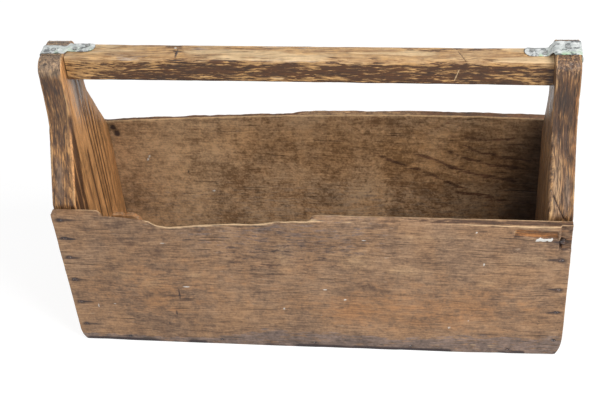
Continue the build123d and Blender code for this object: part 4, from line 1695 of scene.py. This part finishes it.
def wood(name, look):
    """Old pine: growth rings, fibres, mottling, cracks and scuffs, with wear, dirt, painted light, shade and
    sheen by the marks.
    """
    g = Graph(bpy.data.materials.new(name))
    place = g.add("TexCoord", output=3)
    swirl = g.add("TexNoise", {"Vector": place, "Scale": swirl_scale}, output=1)
    wander = g.vector("SUBTRACT", swirl, (0.5, 0.5, 0.5))
    warped = g.vector("ADD", place, g.vector("MULTIPLY", wander, look["wander"]))
    noises = wood_noises(g, place, warped, look)
    value = 0.5
    for key, amount in look["contrast"].items():
        value = g.plus(g.times(g.minus(noises[key], 0.5), amount), value)
    value = g.add("Clamp", {0: value})
    hue = g.mix(g.step(noises["hue"], *hue_levels), look["cool"], look["hot"])
    colour = g.vector("MULTIPLY", g.mix(value, look["dark"], look["light"]), hue)
    late = late_wood(g, warped, noises, look)
    crack = g.times(g.step(noises["crack"], *crack_levels), look["cracks"])
    speck = g.times(g.step(noises["speck"], *speck_levels), look["specks"])
    scuff = g.times(g.step(noises["scuff"], *scuff_levels), look["scuffs"])
    for factor, key in ((late, "late"), (crack, "crack"), (speck, "crack"), (scuff, "scuff")):
        colour = g.mix(factor, colour, look[key])
    colour = lay_marks(g, colour, value, noises, look)
    rough = g.step(value, *rough_levels, *look["roughness"])
    rough = g.times(rough, g.step(g.mark("polish_and_sheen"), 0.0, 1.0, 1.0, polish_share))
    fibre, streak, brush = (g.times(noises[key], share) for key, share in bump_shares.items())
    height = g.plus(g.plus(fibre, streak), brush)
    height = g.minus(height, g.plus(g.times(late, look["furrow"]), crack))
    return g.finish(colour, rough, height, look["relief"], **{"Specular IOR Level": look["gloss"]})


# Metals: their tones, the scales of their noises, the depth of their bumps and how metallic they are
sheet_tones = {
    "dark": tone(178, 183, 182), "light": tone(212, 215, 213), "bloom": tone(228, 230, 228),
    "green": tone(164, 204, 150), "dirt": tone(92, 94, 96),
}
# The lightest tone of each nail is bare metal where the head was hit, lightened to a painted glint
nail_tones = {
    "iron_nail": {"dark": tone(62, 55, 55), "rusty": tone(94, 68, 54), "struck_and_glint": tone(172, 164, 160)},
    "zinc_nail": {"dark": tone(160, 163, 162), "rusty": tone(140, 138, 134), "struck_and_glint": tone(206, 208, 206)},
}
spangle_scale = 240.0
blotch_noise = (210.0, 4.0, 0.7)
tint_noise = (85.0, 3.0)
grit_noise = (900.0, 2.0, 0.6)
pit_noise = (900.0, 3.0, 0.6)
rust_noise = (260.0, 3.0, 0.6)
sheet_bump = 0.0005
nail_bump = 0.0004
dull_metal = 0.35


def galvanised_sheet():
    """Dull zinc with spangles, pale bloom, dirt in the dents and a green tint along the edges."""
    g = Graph(bpy.data.materials.new("galvanised_sheet"))
    place = g.add("TexCoord", output=3)
    spangle = g.add("TexVoronoi", {"Vector": place, "Scale": spangle_scale}, output=1)
    spangle = g.add("SeparateColor", {0: spangle})
    blotch = g.noise(place, *blotch_noise)
    colour = g.mix(spangle, sheet_tones["dark"], sheet_tones["light"])
    colour = g.mix(g.step(blotch, 0.48, 0.62, 0.0, 0.8), colour, sheet_tones["bloom"])
    tint = g.times(g.mark("tint"), g.step(g.noise(place, *tint_noise), 0.4, 0.6))
    colour = g.mix(g.times(tint, 0.8), colour, sheet_tones["green"])
    dirt = g.plus(g.mark("grime"), g.times(g.minus(blotch, 0.5), -2.0))
    colour = g.mix(g.step(dirt, 0.45, 0.95, 0.0, 0.85), colour, sheet_tones["dirt"])
    rough = g.step(blotch, 0.35, 0.65, 0.42, 0.7)
    height = g.plus(blotch, g.times(g.noise(place, *grit_noise), 0.4))
    return g.finish(colour, rough, height, sheet_bump, Metallic=dull_metal)


def nail_metal(name, dark, rusty, struck_and_glint):
    """Old nail heads with rust in their pits, and a little bare metal where they were hit, made light as a
    painted glint.
    """
    g = Graph(bpy.data.materials.new(name))
    place = g.add("TexCoord", output=3)
    pits = g.noise(place, *pit_noise)
    colour = g.mix(g.step(g.noise(place, *rust_noise), 0.42, 0.62), dark, rusty)
    colour = g.mix(g.step(pits, 0.52, 0.68, 0.0, 0.7), colour, struck_and_glint)
    rough = g.step(pits, 0.35, 0.65, 0.75, 0.5)
    return g.finish(colour, rough, pits, nail_bump, Metallic=dull_metal)


# White surroundings: a floor and a sky that look white to the camera and in reflections
floor_size = 12.0
floor_glow = 0.82
floor_shade = 0.3
floor_albedo = 0.75
sky_strength = 0.33
white = (1.0, 1.0, 1.0, 1.0)


def seen_directly(g):
    """1 for rays from the camera, from gloss and through glass, otherwise 0."""
    path = g.add("LightPath").node
    total = path.outputs["Is Camera Ray"]
    for ray in ("Is Glossy Ray", "Is Transmission Ray"):
        total = g.math("MAXIMUM", total, path.outputs[ray])
    return total


def sky():
    world = bpy.data.worlds.new("white_surroundings")
    bpy.context.scene.world = world
    g = Graph(world)
    light = g.add("Background", {"Color": white, "Strength": sky_strength})
    plain_white = g.add("Background", {"Color": white, "Strength": 1.0})
    mixed = g.add("MixShader", {0: seen_directly(g), 1: light, 2: plain_white})
    g.put(g.tree.nodes["World Output"].inputs["Surface"], mixed)
    g.tree.nodes.remove(g.tree.nodes["Background"])


def floor_material():
    """A pale floor that shows white, less the object's soft shadow."""
    g = Graph(bpy.data.materials.new("pale_floor"))
    g.tree.nodes.remove(g.tree.nodes["Principled BSDF"])
    matt, shaded = (
        g.add("BsdfDiffuse", {"Color": (grey, grey, grey, 1.0)}) for grey in (floor_albedo, floor_shade)
    )
    glow = g.add("Emission", {"Strength": floor_glow})
    seen = g.add("AddShader", {0: shaded, 1: glow})
    mixed = g.add("MixShader", {0: seen_directly(g), 1: matt, 2: seen})
    g.put(g.tree.nodes["Material Output"].inputs["Surface"], mixed)
    return g.owner


def ground():
    reach = floor_size / 2
    corners = [(-reach, -reach, 0), (reach, -reach, 0), (reach, reach, 0), (-reach, reach, 0)]
    mesh = bpy.data.meshes.new("pale_floor")
    mesh.from_pydata(corners, [], [(0, 1, 2, 3)])
    mesh.materials.append(floor_material())
    floor = bpy.data.objects.new("pale_floor", mesh)
    bpy.context.scene.collection.objects.link(floor)


# Soft lamps, each with its place, its size and its power in watts
box_middle = Vector((0.0, 0.0, front_height / 2))
lamps = {
    "key_lamp": ((1.45, -0.9, 1.7), 1.3, 44.0),
    "fill_lamp": ((-0.6, -1.3, 1.8), 1.4, 13.0),
}


def add_lamps():
    for name, (place, size, power) in lamps.items():
        data = bpy.data.lights.new(name, "AREA")
        data.shape = "DISK"
        data.size = size
        data.energy = power
        lamp = bpy.data.objects.new(name, data)
        lamp.location = place
        lamp.rotation_euler = (box_middle - Vector(place)).to_track_quat("-Z", "Y").to_euler()
        bpy.context.scene.collection.objects.link(lamp)


# Camera fitted to the corners of the box in the photograph
camera_place = (0.17308, -1.11591, 1.1025)
camera_yaw = math.radians(-9.45)
camera_pitch = math.radians(39.87)
camera_roll = math.radians(-4.87)
focal_pixels = 1182.35
image_width_pixels = 612
sensor_width_mm = 36.0


def add_camera():
    data = bpy.data.cameras.new("photo_camera")
    data.sensor_width = sensor_width_mm
    data.lens = sensor_width_mm * focal_pixels / image_width_pixels
    forward = Vector((
        math.sin(camera_yaw) * math.cos(camera_pitch),
        math.cos(camera_yaw) * math.cos(camera_pitch),
        -math.sin(camera_pitch),
    ))
    level = Vector((math.cos(camera_yaw), -math.sin(camera_yaw), 0))
    upright = level.cross(forward)
    right = math.cos(camera_roll) * level + math.sin(camera_roll) * upright
    up = math.cos(camera_roll) * upright - math.sin(camera_roll) * level
    turned = Matrix((right, up, -forward)).transposed().to_4x4()
    camera = bpy.data.objects.new("photo_camera", data)
    camera.matrix_world = Matrix.Translation(camera_place) @ turned
    bpy.context.scene.collection.objects.link(camera)
    bpy.context.scene.camera = camera


def main():
    bpy.context.scene.view_settings.view_transform = "Standard"
    add_camera()
    add_lamps()
    sky()
    ground()
    front_board(wood("front_wood", front_look))
    back_board(wood("back_wood", back_look), wood("back_outer_wood", back_outer_look))
    for side, sign in side_signs.items():
        pith_x, pith_y, pith_z = end_look["pith"]
        end_board(side, wood(f"{side}_end_wood", {**end_look, "pith": (sign * pith_x, pith_y, pith_z)}))
    bottom_board(wood("bottom_wood", bottom_look))
    handle_rail(wood("rail_wood", rail_look))
    zinc = galvanised_sheet()
    for side in side_signs:
        strap(side, zinc)
    all_nails(*(nail_metal(name, **tones) for name, tones in nail_tones.items()))


main()
